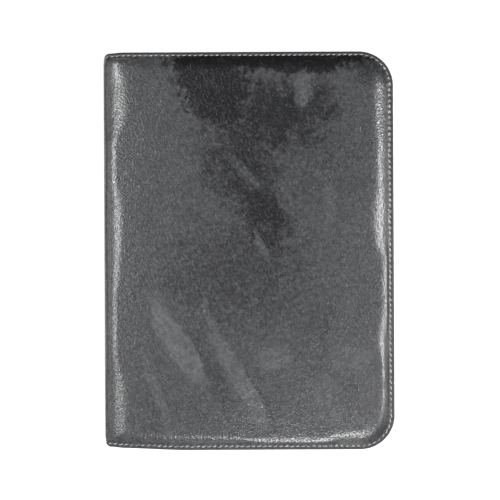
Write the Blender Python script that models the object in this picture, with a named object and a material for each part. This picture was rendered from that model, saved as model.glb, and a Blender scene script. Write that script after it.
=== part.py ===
"""Executive portfolio: two padded covers on a rolled spine, with inner pockets and a writing pad.

The portfolio lies closed on its back cover. +Z is up, +Y points to the head of the spine, and the spine is
on the -X side. The origin is on the table, under the middle of the closed portfolio. Lengths are in metres.

A level is a depth measured inwards from the flat crown of a cover's outer face, so both covers share their
levels: the back cover counts them up from the table and the front cover down from the top.
"""

import math

import bmesh
import bpy
from mathutils import Vector

# Clearance between neighbouring pieces
GAP = 0.0003

# Closed size, over the covers
WIDTH = 0.236
HEIGHT = 0.324
THICKNESS = 0.026
CORNER_RADIUS = 0.028

# Layers of a cover
LEATHER = 0.0010
FOAM = 0.0025
BOARD = 0.0024
LINING = 0.0006

# Padded shoulder, where the leather climbs from its flat rim to the crown
RIM_WIDTH = 0.0043
SHOULDER_WIDTH = 0.012
FOAM_START_SHARE = 0.35
SPINE_SHOULDER_WIDTH = 0.010
SPINE_SHOULDER_DROP = 0.0015

# Turned edge on the three free sides
HEM_THICKNESS = 0.0006
HEM_WIDTH = 0.008
EDGE_ROUNDING = 0.0008
LINING_INSET = 0.0012

# Edge stitching
STITCH_INSET = 0.0029
THREAD_WIDTH = 0.0007
THREAD_HEIGHT = 0.0006
STITCH_GROOVE_DEPTH = 0.0005

# Spine and the two hinge folds that join it to the covers
FOLD_REACH = 0.0052
SPINE_FACE_HEIGHT = 0.013
SPINE_BOARD = 0.0010
SPINE_BOARD_MARGIN = 0.0008
SPINE_END_TUCK = 0.0035
COVER_END_TUCK = 0.0008
TAIL_TUCK = 0.0022
TAIL_TUCK_WIDTH = 0.065
LINING_FOLD = 0.0018
BOARD_SETBACK = 0.0010
FOAM_SETBACK = 0.0018
HINGE_INSET = 0.0015
HINGE_LEVEL = 0.0030

# Writing pad
PAD_WIDTH = 0.210
PAD_HEIGHT = 0.297
PAD_SHEETS = 0.0045
PAD_BACKING = 0.0010
PAD_CORNER = 0.0015
PAD_TAPE = 0.0003
PAD_TAPE_WIDTH = 0.018
GUTTER = 0.0103

# Slot panel that holds the pad's backing
POCKET_SHEET = 0.0006
SLOT_SIDE_CLEARANCE = 0.0007
SLOT_DEPTH = 0.205
SEAM_SLOPE = 0.0008
SEAM_FLANGE = 0.0016
SLOT_CORNER = 0.006
MOUTH_BINDING_WIDTH = 0.005
MOUTH_BINDING = 0.0008

# Document pocket, card pockets and identity window inside the front cover
DOCUMENT_POCKET_DEPTH = 0.246
DOCUMENT_POCKET_FOOT = 0.0105
DOCUMENT_POCKET_CORNER = 0.012
CARD_POCKET_NAMES = ("upper", "middle", "lower")
CARD_POCKET_WIDTH = 0.096
CARD_POCKET_HEIGHT = 0.062
CARD_POCKET_STEP = 0.014
CARD_POCKET_CORNER = 0.004
CARD_POCKET_MARGIN = 0.006
CARD_POCKET_BELOW_MOUTH = 0.020
CARD_WINDOW_GAP = 0.006
WINDOW_HEIGHT = 0.066
WINDOW_BORDER = 0.006
WINDOW_CORNER = 0.004
WINDOW_FRAME = 0.0008
WINDOW_PANE = 0.0003
WINDOW_OVERLAP = 0.003

# Pen loop on the spine lining
LOOP_LENGTH = 0.030
LOOP_CENTRE_Y = 0.030
LOOP_WIDTH = 0.0106
LOOP_HEIGHT = 0.0104
LOOP_BAND = 0.0008
LOOP_CORNER = 0.0045

# Fineness of the curved surfaces
CORNER_STEPS = 8
SHOULDER_STEPS = 6
STATION_STEPS = 5
TAIL_STEPS = 4
FOLD_STEPS = 7
SMALL_CORNER_STEPS = 5
CORNER_LEAST = 0.0005

# Places that follow from the sizes above
SPINE_X = -WIDTH / 2
FOLD_X = SPINE_X + FOLD_REACH
COVER_LENGTH = WIDTH / 2 - FOLD_X
HALF_HEIGHT = HEIGHT / 2
EDGE_LEVEL = FOAM + GAP
BOARD_LEVEL = EDGE_LEVEL + LEATHER + GAP
BOARD_INNER_LEVEL = BOARD_LEVEL + BOARD
HEM_LEVEL = BOARD_INNER_LEVEL - HEM_THICKNESS
LINING_LEVEL = BOARD_INNER_LEVEL + GAP
LINING_INNER_LEVEL = LINING_LEVEL + LINING
SPINE_FACE_LEVEL = (THICKNESS - SPINE_FACE_HEIGHT) / 2
SPINE_LINING_X = SPINE_X + LEATHER + GAP + SPINE_BOARD + GAP
SPINE_LINING_LEVEL = LINING_INNER_LEVEL + LINING_FOLD
HINGE_X = SPINE_X + HINGE_INSET
PAD_CENTRE_X = FOLD_X + GUTTER + PAD_WIDTH / 2
PAD_BACKING_LEVEL = LINING_INNER_LEVEL + GAP
SLOT_PANEL_LEVEL = PAD_BACKING_LEVEL + PAD_BACKING + GAP
PAD_SHEETS_LEVEL = SLOT_PANEL_LEVEL + POCKET_SHEET + GAP
SLOT_MOUTH_Y = SLOT_DEPTH - PAD_HEIGHT / 2
DOCUMENT_POCKET_LEVEL = LINING_INNER_LEVEL + GAP
DOCUMENT_MOUTH_Y = DOCUMENT_POCKET_DEPTH + DOCUMENT_POCKET_FOOT - HALF_HEIGHT
CARD_POCKET_LEVEL = DOCUMENT_POCKET_LEVEL + POCKET_SHEET + GAP
WINDOW_WIDTH = PAD_WIDTH - CARD_POCKET_WIDTH - 2 * CARD_POCKET_MARGIN - CARD_WINDOW_GAP


def smooth(value):
    """A step from 0 to 1 with level ends."""
    t = min(max(value, 0.0), 1.0)
    return t * t * (3.0 - 2.0 * t)


def clear_scene():
    for thing in list(bpy.data.objects):
        bpy.data.objects.remove(thing, do_unlink=True)


def make_material(name, colour, roughness, metallic=0.0, alpha=1.0):
    material = bpy.data.materials.new(name)
    material.use_nodes = True
    shader = material.node_tree.nodes["Principled BSDF"]
    shader.inputs["Base Color"].default_value = (*colour, 1.0)
    shader.inputs["Roughness"].default_value = roughness
    shader.inputs["Metallic"].default_value = metallic
    shader.inputs["Alpha"].default_value = alpha
    return material


def add_piece(name, mesh, material, parent=None, is_round=False):
    """Turns a bmesh into a named object that its joint's empty carries."""
    bmesh.ops.recalc_face_normals(mesh, faces=mesh.faces)
    bmesh.ops.triangulate(mesh, faces=mesh.faces, ngon_method="EAR_CLIP")
    data = bpy.data.meshes.new(name)
    mesh.to_mesh(data)
    mesh.free()
    if is_round:
        data.shade_smooth()
        data.set_sharp_from_angle(angle=math.radians(35))
    data.materials.append(material)
    piece = bpy.data.objects.new(name, data)
    bpy.context.collection.objects.link(piece)
    if parent:
        piece.parent = parent
        piece.matrix_parent_inverse = parent.matrix_world.inverted()
    return piece


def add_axis(name, place, parent=None):
    """An empty on a joint's axis."""
    axis = bpy.data.objects.new(name, None)
    bpy.context.collection.objects.link(axis)
    axis.location = place
    if parent:
        axis.parent = parent
        axis.location = Vector(place) - parent.matrix_world.translation
    bpy.context.view_layer.update()
    return axis


def three_sided_ring(length, half_width, corner, inset, stations=(0.0,)):
    """Points (u, v) along a panel's three closed sides, from the +v end of its open side to the -v end.

    u runs from the open side to the far side and v across. The ring keeps one inset from the three sides.
    """
    radius = max(corner - inset, CORNER_LEAST)
    centre_u = length - inset - radius
    centre_v = half_width - inset - radius
    half = [(u, half_width - inset) for u in stations]
    for step in range(CORNER_STEPS + 1):
        angle = math.pi / 2 * (1 - step / CORNER_STEPS)
        half.append((centre_u + radius * math.cos(angle), centre_v + radius * math.sin(angle)))
    return half + [(u, -v) for u, v in reversed(half)]


def close_ring(mesh, ring, station_count):
    """Fills the inside of a three-sided ring: a strip between each two stations, and one face beyond them."""
    last = len(ring) - 1
    for i in range(station_count - 1):
        mesh.faces.new((ring[i], ring[i + 1], ring[last - i - 1], ring[last - i]))
    mesh.faces.new(ring[station_count - 1 : last - station_count + 2])


def bridge_rings(mesh, rings):
    for first, second in zip(rings, rings[1:]):
        for i in range(len(first) - 1):
            mesh.faces.new((first[i], first[i + 1], second[i + 1], second[i]))


def loft_panel(rings, station_count=1):
    """A closed panel: its rings run from the middle of one face over the edge to the middle of the other."""
    mesh = bmesh.new()
    corners = [[mesh.verts.new(point) for point in ring] for ring in rings]
    bridge_rings(mesh, corners)
    close_ring(mesh, corners[0], station_count)
    close_ring(mesh, corners[-1], station_count)
    mesh.faces.new([ring[0] for ring in corners] + [ring[-1] for ring in reversed(corners)])
    return mesh


def loft_strand(rings):
    """A closed strand: its rings are the corners of its section, each carried along the same three sides."""
    mesh = bmesh.new()
    corners = [[mesh.verts.new(point) for point in ring] for ring in rings]
    bridge_rings(mesh, corners + corners[:1])
    mesh.faces.new([ring[0] for ring in corners])
    mesh.faces.new([ring[-1] for ring in corners])
    return mesh


def thick_grid(outer, inner):
    """A closed shell between two grids of points that match row by row."""
    mesh = bmesh.new()
    faces = [[[mesh.verts.new(point) for point in row] for row in grid] for grid in (outer, inner)]
    rows, columns = len(outer), len(outer[0])
    for grid in faces:
        bridge_rings(mesh, grid)
    first, second = faces
    for j in (0, columns - 1):
        for i in range(rows - 1):
            mesh.faces.new((first[i][j], first[i + 1][j], second[i + 1][j], second[i][j]))
    for i in (0, rows - 1):
        for j in range(columns - 1):
            mesh.faces.new((first[i][j], first[i][j + 1], second[i][j + 1], second[i][j]))
    return mesh


def box(low, high):
    mesh = bmesh.new()
    bmesh.ops.create_cube(mesh, size=1.0)
    low, high = Vector(low), Vector(high)
    for corner in mesh.verts:
        corner.co = Vector(
            high[i] if corner.co[i] > 0 else low[i] for i in range(3)
        )
    return mesh


def rounded_rectangle(half_width, half_height, radius):
    """Points (a, b) round a rectangle with arcs at its corners."""
    points = []
    for quarter, (sign_a, sign_b) in enumerate(((1, 1), (-1, 1), (-1, -1), (1, -1))):
        for step in range(SMALL_CORNER_STEPS + 1):
            angle = math.pi / 2 * (quarter + step / SMALL_CORNER_STEPS)
            a = sign_a * (half_width - radius) + radius * math.cos(angle)
            b = sign_b * (half_height - radius) + radius * math.sin(angle)
            points.append((a, b))
    return points


def loft_tube(outer, inner, place, start, end):
    """A tube of one section, given by its outer and inner outlines; place puts (a, b, distance) in the world."""
    mesh = bmesh.new()
    loops = [
        [mesh.verts.new(place(a, b, distance)) for a, b in outline]
        for outline, distance in ((outer, start), (outer, end), (inner, end), (inner, start))
    ]
    count = len(outer)
    for first, second in zip(loops, loops[1:] + loops[:1]):
        for i in range(count):
            j = (i + 1) % count
            mesh.faces.new((first[i], first[j], second[j], second[i]))
    return mesh


def outer_level(u, inset):
    """Level of a cover's outer face: flat crown, shoulders to the free sides, a slighter one to the spine."""
    edge = EDGE_LEVEL * (1 - smooth((inset - RIM_WIDTH) / SHOULDER_WIDTH))
    fold = SPINE_SHOULDER_DROP * (1 - smooth(u / SPINE_SHOULDER_WIDTH))
    return edge + fold * (1 - edge / EDGE_LEVEL)


def drawn_in(v, tuck, distance):
    """A place across the spine once each end draws in by tuck, and the tail by some more close to the fold."""
    if v < 0:
        tuck += TAIL_TUCK * (1 - smooth(distance / TAIL_TUCK_WIDTH))
    return v * (1 - tuck / HALF_HEIGHT)


class Cover:
    """Places the pieces of one cover: levels count from its outer face, u from the hinge fold."""

    def __init__(self, name, is_front):
        self.name = name
        self.is_front = is_front

    def height(self, level):
        return THICKNESS - level if self.is_front else level

    def point(self, u, v, level, left=0.0):
        distance = left + u
        tuck = COVER_END_TUCK * (1 - smooth(distance / SPINE_SHOULDER_WIDTH))
        return (FOLD_X + distance, drawn_in(v, tuck, distance), self.height(level))

    def ring(self, inset, level, left=0.0, stations=(0.0,)):
        """A ring of world points; level is a value, or a function of u for a face that falls to the spine."""
        level_at = level if callable(level) else lambda u: level
        flat = three_sided_ring(COVER_LENGTH - left, HALF_HEIGHT, CORNER_RADIUS, inset, stations)
        return [self.point(u, v, level_at(left + u), left) for u, v in flat]


def tail_stations(left=0.0):
    """Distances from a piece's spine side at which the drawn-in tail is followed."""
    return [TAIL_TUCK_WIDTH * (i + 1) / TAIL_STEPS - left for i in range(TAIL_STEPS)]


def plain_stations(left=0.0):
    """Stations of a piece whose face is level."""
    return [0.0, *tail_stations(left)]


def cover_stations(left=0.0):
    """Stations of a piece that also falls to the spine."""
    width = SPINE_SHOULDER_WIDTH - left
    return [width * i / STATION_STEPS for i in range(STATION_STEPS + 1)] + tail_stations(left)


def shoulder_insets(start_share=0.0):
    """Insets from the crown out to the rim."""
    return [
        RIM_WIDTH + SHOULDER_WIDTH * (1 - (1 - start_share) * i / SHOULDER_STEPS)
        for i in range(SHOULDER_STEPS + 1)
    ]


def leather_face(inset, depth):
    """The level along one inset, at a depth under the outer face."""
    return lambda u: outer_level(u, inset) + depth


def make_cover_leather(cover, material, parent):
    """Leather over the padding, turned over the board's edge and in under the lining."""
    groove_half = THREAD_WIDTH / 2 + GAP
    groove_level = EDGE_LEVEL + STITCH_GROOVE_DEPTH
    half_rounding = EDGE_ROUNDING * (1 - math.sqrt(0.5))
    profile = [(inset, leather_face(inset, 0.0)) for inset in shoulder_insets()]
    profile += [
        (STITCH_INSET + groove_half, EDGE_LEVEL),
        (STITCH_INSET + groove_half, groove_level),
        (STITCH_INSET - groove_half, groove_level),
        (STITCH_INSET - groove_half, EDGE_LEVEL),
        (EDGE_ROUNDING, EDGE_LEVEL),
        (half_rounding, EDGE_LEVEL + half_rounding),
        (0.0, EDGE_LEVEL + EDGE_ROUNDING),
        (0.0, BOARD_INNER_LEVEL - EDGE_ROUNDING),
        (half_rounding, BOARD_INNER_LEVEL - half_rounding),
        (EDGE_ROUNDING, BOARD_INNER_LEVEL),
        (HEM_WIDTH, BOARD_INNER_LEVEL),
        (HEM_WIDTH, HEM_LEVEL),
        (LEATHER, HEM_LEVEL),
        (LEATHER, EDGE_LEVEL + LEATHER),
    ]
    profile += [(inset, leather_face(inset, LEATHER)) for inset in reversed(shoulder_insets())]
    stations = cover_stations()
    rings = [cover.ring(inset, level, stations=stations) for inset, level in profile]
    mesh = loft_panel(rings, len(stations))
    return add_piece(f"{cover.name}_cover_leather", mesh, material, parent, is_round=True)


def make_cover_foam(cover, material, parent):
    """Padding under the leather; it tapers out before the flat rim and thins towards the spine."""
    insets = shoulder_insets(FOAM_START_SHARE)
    stations = cover_stations(FOAM_SETBACK)
    floor = BOARD_LEVEL - GAP
    profile = [(inset, leather_face(inset, LEATHER + GAP)) for inset in insets]
    profile.append((insets[-1], floor))
    rings = [cover.ring(inset, level, FOAM_SETBACK, stations) for inset, level in profile]
    mesh = loft_panel(rings, len(stations))
    return add_piece(f"{cover.name}_foam_padding", mesh, material, parent, is_round=True)


def make_cover_board(cover, material, parent):
    """Stiff board with a rebate round its rim, where the turned leather lies."""
    rim = LEATHER + GAP
    step = HEM_WIDTH + GAP
    profile = (
        (rim, BOARD_LEVEL),
        (rim, HEM_LEVEL - GAP),
        (step, HEM_LEVEL - GAP),
        (step, BOARD_INNER_LEVEL),
    )
    stations = plain_stations(BOARD_SETBACK)
    rings = [cover.ring(inset, level, BOARD_SETBACK, stations) for inset, level in profile]
    mesh = loft_panel(rings, len(stations))
    return add_piece(f"{cover.name}_board", mesh, material, parent)


def make_cover_lining(cover, material, parent):
    profile = ((LINING_INSET, LINING_LEVEL), (LINING_INSET, LINING_INNER_LEVEL))
    stations = plain_stations()
    rings = [cover.ring(inset, level, stations=stations) for inset, level in profile]
    mesh = loft_panel(rings, len(stations))
    return add_piece(f"{cover.name}_lining", mesh, material, parent)


def make_edge_stitching(cover, material, parent):
    """One thread round the three free sides, laid in the leather's groove."""
    floor = EDGE_LEVEL + STITCH_GROOVE_DEPTH - GAP
    outside = STITCH_INSET - THREAD_WIDTH / 2
    inside = STITCH_INSET + THREAD_WIDTH / 2
    section = (
        (inside, floor),
        (outside, floor),
        (outside, floor - THREAD_HEIGHT),
        (inside, floor - THREAD_HEIGHT),
    )
    stations = cover_stations()
    rings = [cover.ring(inset, level, stations=stations) for inset, level in section]
    return add_piece(f"{cover.name}_edge_stitching", loft_strand(rings), material, parent)


def fold_point(cover, angle, reach, rise, centre_x, centre_level, y, tuck):
    """A point on a fold's arc: angle 0 is at the cover and a right angle at the spine."""
    x = centre_x - reach * math.sin(angle)
    level = centre_level - rise * math.cos(angle)
    return (x, drawn_in(y, tuck, 0.0), cover.height(level))


def fold_angles():
    return [math.pi / 2 * i / FOLD_STEPS for i in range(FOLD_STEPS + 1)]


def make_fold_leather(cover, material, parent):
    """Leather that rolls from a cover over to the spine; its top meets the cover's falling face all along."""
    centre_x = FOLD_X - GAP
    centre_level = SPINE_FACE_LEVEL - GAP
    insets = [0.0, *reversed(shoulder_insets())]
    stations = [(HALF_HEIGHT - inset, inset) for inset in insets]
    stations += [(-y, inset) for y, inset in reversed(stations)]
    outer, inner = [], []
    for y, inset in stations:
        top = outer_level(0.0, inset)
        for grid, depth in ((outer, 0.0), (inner, LEATHER)):
            reach = FOLD_REACH - GAP - depth
            rise = centre_level - top - depth
            row = []
            for angle in fold_angles():
                tuck = COVER_END_TUCK + (SPINE_END_TUCK - COVER_END_TUCK) * (1 - math.cos(angle))
                row.append(fold_point(cover, angle, reach, rise, centre_x, centre_level, y, tuck))
            grid.append(row)
    mesh = thick_grid(outer, inner)
    return add_piece(f"{cover.name}_hinge_leather", mesh, material, parent, is_round=True)


def make_fold_lining(cover, material, parent):
    """Lining that turns from a cover's lining to the spine's."""
    centre_x = FOLD_X - GAP
    centre_level = SPINE_LINING_LEVEL - GAP
    outer, inner = [], []
    for y in (HALF_HEIGHT - LINING_INSET, LINING_INSET - HALF_HEIGHT):
        for grid, depth in ((outer, 0.0), (inner, LINING)):
            reach = centre_x - SPINE_LINING_X - depth
            rise = centre_level - LINING_LEVEL - depth
            row = []
            for angle in fold_angles():
                tuck = COVER_END_TUCK + (SPINE_END_TUCK - COVER_END_TUCK) * (1 - math.cos(angle))
                row.append(fold_point(cover, angle, reach, rise, centre_x, centre_level, y, tuck))
            grid.append(row)
    mesh = thick_grid(outer, inner)
    return add_piece(f"{cover.name}_hinge_lining", mesh, material, parent, is_round=True)


def make_spine(materials, parent):
    """Leather, board and lining of the flat face between the two folds."""
    layers = (
        ("spine_leather", SPINE_X, LEATHER, SPINE_FACE_LEVEL, SPINE_END_TUCK, "leather"),
        (
            "spine_board",
            SPINE_X + LEATHER + GAP,
            SPINE_BOARD,
            SPINE_FACE_LEVEL + SPINE_BOARD_MARGIN,
            SPINE_END_TUCK + LEATHER + GAP,
            "board",
        ),
        (
            "spine_lining",
            SPINE_LINING_X,
            LINING,
            SPINE_LINING_LEVEL,
            SPINE_END_TUCK + LINING_INSET,
            "lining",
        ),
    )
    for name, x, thickness, level, end, finish in layers:
        low = (x, end + TAIL_TUCK - HALF_HEIGHT, level)
        high = (x + thickness, HALF_HEIGHT - end, THICKNESS - level)
        add_piece(name, box(low, high), materials[finish], parent)


def make_pen_loop(material, parent):
    """Elastic band in a loop along the gutter, sewn flat to the spine lining."""
    centre_x = SPINE_LINING_X + LINING + GAP + LOOP_WIDTH / 2
    centre_z = THICKNESS / 2

    def place(a, b, distance):
        return (centre_x + a, distance, centre_z + b)

    outer = rounded_rectangle(LOOP_WIDTH / 2, LOOP_HEIGHT / 2, LOOP_CORNER)
    inner = rounded_rectangle(LOOP_WIDTH / 2 - LOOP_BAND, LOOP_HEIGHT / 2 - LOOP_BAND, LOOP_CORNER - LOOP_BAND)
    start = LOOP_CENTRE_Y - LOOP_LENGTH / 2
    mesh = loft_tube(outer, inner, place, start, start + LOOP_LENGTH)
    return add_piece("pen_loop", mesh, material, parent, is_round=True)


def pocket_ring(centre_x, mouth_y, depth, half_width, corner, inset, z):
    """World points round a pocket's three sewn sides; the open mouth is on its +Y side."""
    flat = three_sided_ring(depth, half_width, corner, inset)
    return [(centre_x + v, mouth_y - u, z) for u, v in flat]


def make_flat_pocket(name, centre_x, mouth_y, size, corner, low_z, thickness, material, parent):
    """A flat sheet with a straight mouth and round foot corners; size is (width, depth)."""
    width, depth = size
    rings = [
        pocket_ring(centre_x, mouth_y, depth, width / 2, corner, 0.0, z)
        for z in (low_z, low_z + thickness)
    ]
    return add_piece(name, loft_panel(rings), material, parent)


def make_slot_panel(material, parent):
    """Panel over the pad's backing: raised in the middle, sewn down to the lining on three sides."""
    foot = SLOT_SIDE_CLEARANCE + SEAM_SLOPE + SEAM_FLANGE
    half_width = PAD_WIDTH / 2 + foot
    depth = SLOT_DEPTH + foot
    seam = LINING_INNER_LEVEL + GAP
    profile = (
        (SEAM_FLANGE + SEAM_SLOPE, SLOT_PANEL_LEVEL + POCKET_SHEET),
        (SEAM_FLANGE, seam + POCKET_SHEET),
        (0.0, seam + POCKET_SHEET),
        (0.0, seam),
        (SEAM_FLANGE, seam),
        (SEAM_FLANGE + SEAM_SLOPE, SLOT_PANEL_LEVEL),
    )
    rings = [
        pocket_ring(PAD_CENTRE_X, SLOT_MOUTH_Y, depth, half_width, SLOT_CORNER, inset, level)
        for inset, level in profile
    ]
    return add_piece("pad_slot_panel", loft_panel(rings), material, parent)


def make_mouth_binding(name, mouth_y, low_z, thickness, half_width, material, parent):
    """Bound edge along a pocket's mouth."""
    low = (PAD_CENTRE_X - half_width, mouth_y + GAP, low_z)
    high = (PAD_CENTRE_X + half_width, mouth_y + GAP + MOUTH_BINDING_WIDTH, low_z + thickness)
    return add_piece(name, box(low, high), material, parent)


def make_back_pockets(materials, parent):
    make_slot_panel(materials["pocket"], parent)
    make_mouth_binding(
        "pad_slot_binding",
        SLOT_MOUTH_Y,
        SLOT_PANEL_LEVEL,
        POCKET_SHEET,
        PAD_WIDTH / 2 + SLOT_SIDE_CLEARANCE,
        materials["binding"],
        parent,
    )


def make_window(materials, parent):
    """Clear pane behind a leather frame, beside the card pockets."""
    centre_x = PAD_CENTRE_X + PAD_WIDTH / 2 - CARD_POCKET_MARGIN - WINDOW_WIDTH / 2
    centre_y = DOCUMENT_MOUTH_Y - CARD_POCKET_BELOW_MOUTH - WINDOW_HEIGHT / 2
    hole_width = WINDOW_WIDTH / 2 - WINDOW_BORDER
    hole_height = WINDOW_HEIGHT / 2 - WINDOW_BORDER
    pane_low = THICKNESS - CARD_POCKET_LEVEL - WINDOW_PANE
    low = (centre_x - hole_width - WINDOW_OVERLAP, centre_y - hole_height - WINDOW_OVERLAP, pane_low)
    high = (
        centre_x + hole_width + WINDOW_OVERLAP,
        centre_y + hole_height + WINDOW_OVERLAP,
        pane_low + WINDOW_PANE,
    )
    add_piece("id_window", box(low, high), materials["clear"], parent)

    def place(a, b, distance):
        return (centre_x + a, centre_y + b, distance)

    outer = rounded_rectangle(WINDOW_WIDTH / 2, WINDOW_HEIGHT / 2, WINDOW_CORNER)
    inner = rounded_rectangle(hole_width, hole_height, WINDOW_CORNER / 2)
    frame_high = pane_low - GAP
    mesh = loft_tube(outer, inner, place, frame_high - WINDOW_FRAME, frame_high)
    add_piece("id_window_frame", mesh, materials["pocket"], parent)


def make_front_pockets(materials, parent):
    document_low = THICKNESS - DOCUMENT_POCKET_LEVEL - POCKET_SHEET
    make_flat_pocket(
        "document_pocket",
        PAD_CENTRE_X,
        DOCUMENT_MOUTH_Y,
        (PAD_WIDTH, DOCUMENT_POCKET_DEPTH),
        DOCUMENT_POCKET_CORNER,
        document_low,
        POCKET_SHEET,
        materials["pocket"],
        parent,
    )
    make_mouth_binding(
        "document_pocket_binding",
        DOCUMENT_MOUTH_Y,
        THICKNESS - DOCUMENT_POCKET_LEVEL - MOUTH_BINDING,
        MOUTH_BINDING,
        PAD_WIDTH / 2,
        materials["binding"],
        parent,
    )
    centre_x = PAD_CENTRE_X - PAD_WIDTH / 2 + CARD_POCKET_MARGIN + CARD_POCKET_WIDTH / 2
    for i, name in enumerate(CARD_POCKET_NAMES):
        level = CARD_POCKET_LEVEL + i * (POCKET_SHEET + GAP)
        drop = i * CARD_POCKET_STEP
        make_flat_pocket(
            f"card_pocket_{name}",
            centre_x,
            DOCUMENT_MOUTH_Y - CARD_POCKET_BELOW_MOUTH - drop,
            (CARD_POCKET_WIDTH, CARD_POCKET_HEIGHT - drop),
            CARD_POCKET_CORNER,
            THICKNESS - level - POCKET_SHEET,
            POCKET_SHEET,
            materials["pocket"],
            parent,
        )
    make_window(materials, parent)


def make_pad_tape(material, parent):
    """Binding tape over the head of the pad: a strip on the sheets and a lip down to the backing."""
    half = PAD_WIDTH / 2
    head = PAD_HEIGHT / 2
    sheets_top = PAD_SHEETS_LEVEL + PAD_SHEETS
    section = (
        (head - PAD_TAPE_WIDTH, sheets_top + GAP),
        (head + GAP, sheets_top + GAP),
        (head + GAP, PAD_BACKING_LEVEL),
        (head + GAP + PAD_TAPE, PAD_BACKING_LEVEL),
        (head + GAP + PAD_TAPE, sheets_top + GAP + PAD_TAPE),
        (head - PAD_TAPE_WIDTH, sheets_top + GAP + PAD_TAPE),
    )
    mesh = bmesh.new()
    ends = [
        [mesh.verts.new((PAD_CENTRE_X + side * half, y, z)) for y, z in section] for side in (-1, 1)
    ]
    bridge_rings(mesh, [ring + ring[:1] for ring in ends])
    for ring in ends:
        mesh.faces.new(ring)
    return add_piece("pad_binding_tape", mesh, material, parent)


def make_writing_pad(materials, parent):
    leaves = (
        ("pad_backing", PAD_BACKING_LEVEL, PAD_BACKING, "card"),
        ("pad_sheets", PAD_SHEETS_LEVEL, PAD_SHEETS, "paper"),
    )
    for name, level, thickness, finish in leaves:
        make_flat_pocket(
            name,
            PAD_CENTRE_X,
            PAD_HEIGHT / 2,
            (PAD_WIDTH, PAD_HEIGHT),
            PAD_CORNER,
            level,
            thickness,
            materials[finish],
            parent,
        )
    make_pad_tape(materials["tape"], parent)


def make_materials():
    return {
        "leather": make_material("charcoal_leather", (0.105, 0.107, 0.112), 0.42),
        "thread": make_material("pale_thread", (0.55, 0.55, 0.55), 0.8),
        "foam": make_material("grey_foam", (0.35, 0.35, 0.36), 0.95),
        "board": make_material("grey_board", (0.32, 0.29, 0.25), 0.9),
        "lining": make_material("black_lining", (0.03, 0.03, 0.033), 0.85),
        "pocket": make_material("black_pocket_leather", (0.04, 0.04, 0.043), 0.55),
        "binding": make_material("black_binding", (0.025, 0.025, 0.027), 0.5),
        "elastic": make_material("black_elastic", (0.02, 0.02, 0.02), 0.9),
        "clear": make_material("clear_window", (0.8, 0.82, 0.83), 0.12, alpha=0.35),
        "paper": make_material("white_paper", (0.85, 0.85, 0.83), 0.85),
        "card": make_material("pad_card", (0.33, 0.27, 0.2), 0.9),
        "tape": make_material("pad_tape", (0.02, 0.022, 0.03), 0.6),
    }


def make_cover(cover, materials, parent):
    make_cover_leather(cover, materials["leather"], parent)
    make_cover_foam(cover, materials["foam"], parent)
    make_cover_board(cover, materials["board"], parent)
    make_cover_lining(cover, materials["lining"], parent)
    make_edge_stitching(cover, materials["thread"], parent)


def main():
    clear_scene()
    materials = make_materials()
    spine_hinge = add_axis("spine_hinge_axis", (HINGE_X, 0.0, HINGE_LEVEL))
    front_hinge = add_axis("front_hinge_axis", (HINGE_X, 0.0, THICKNESS - HINGE_LEVEL), spine_hinge)
    pad_slide = add_axis("pad_slide_axis", (PAD_CENTRE_X, 0.0, PAD_BACKING_LEVEL))

    back = Cover("back", is_front=False)
    front = Cover("front", is_front=True)
    make_cover(back, materials, None)
    make_cover(front, materials, front_hinge)
    for cover in (back, front):
        make_fold_leather(cover, materials["leather"], spine_hinge)
        make_fold_lining(cover, materials["lining"], spine_hinge)
    make_spine(materials, spine_hinge)
    make_pen_loop(materials["elastic"], spine_hinge)
    make_back_pockets(materials, None)
    make_front_pockets(materials, front_hinge)
    make_writing_pad(materials, pad_slide)


main()
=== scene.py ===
"""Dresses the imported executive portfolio: padded leather on a rolled spine, stitched edges, and its inside.

The portfolio lies closed on its back cover, +Z up and +Y to the head of the spine. Lengths are in metres. A
level is a depth measured inwards from the flat crown of a cover's outer face, so both covers share one set of
formulas.
"""

import enum
import functools
import logging
import math
from dataclasses import dataclass
from typing import Iterable, Sequence

import bmesh
import bpy
import numpy as np
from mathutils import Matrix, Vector


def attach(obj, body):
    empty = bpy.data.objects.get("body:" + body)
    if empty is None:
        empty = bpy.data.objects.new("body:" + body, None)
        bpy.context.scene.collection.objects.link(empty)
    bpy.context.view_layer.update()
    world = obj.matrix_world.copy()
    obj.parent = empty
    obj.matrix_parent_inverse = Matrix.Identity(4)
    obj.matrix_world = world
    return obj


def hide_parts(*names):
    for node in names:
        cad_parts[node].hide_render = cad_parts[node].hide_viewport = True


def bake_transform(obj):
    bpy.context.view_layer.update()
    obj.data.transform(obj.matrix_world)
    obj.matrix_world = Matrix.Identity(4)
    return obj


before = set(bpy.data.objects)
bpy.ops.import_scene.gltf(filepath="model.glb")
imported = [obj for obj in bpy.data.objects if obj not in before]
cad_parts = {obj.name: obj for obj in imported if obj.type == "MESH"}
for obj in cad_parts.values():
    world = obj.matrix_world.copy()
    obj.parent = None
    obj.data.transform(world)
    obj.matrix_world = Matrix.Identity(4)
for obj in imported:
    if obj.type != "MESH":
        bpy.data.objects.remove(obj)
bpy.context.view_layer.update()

log = logging.getLogger("portfolio")
join = np.concatenate
Array = np.ndarray
Material = bpy.types.Material
Piece = bpy.types.Object
Socket = bpy.types.NodeSocket
Numbers = tuple[float, ...]
Triple = tuple[float, float, float]
QUARTER = math.pi / 2
REST_PLACE = "rest_place"


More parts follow.
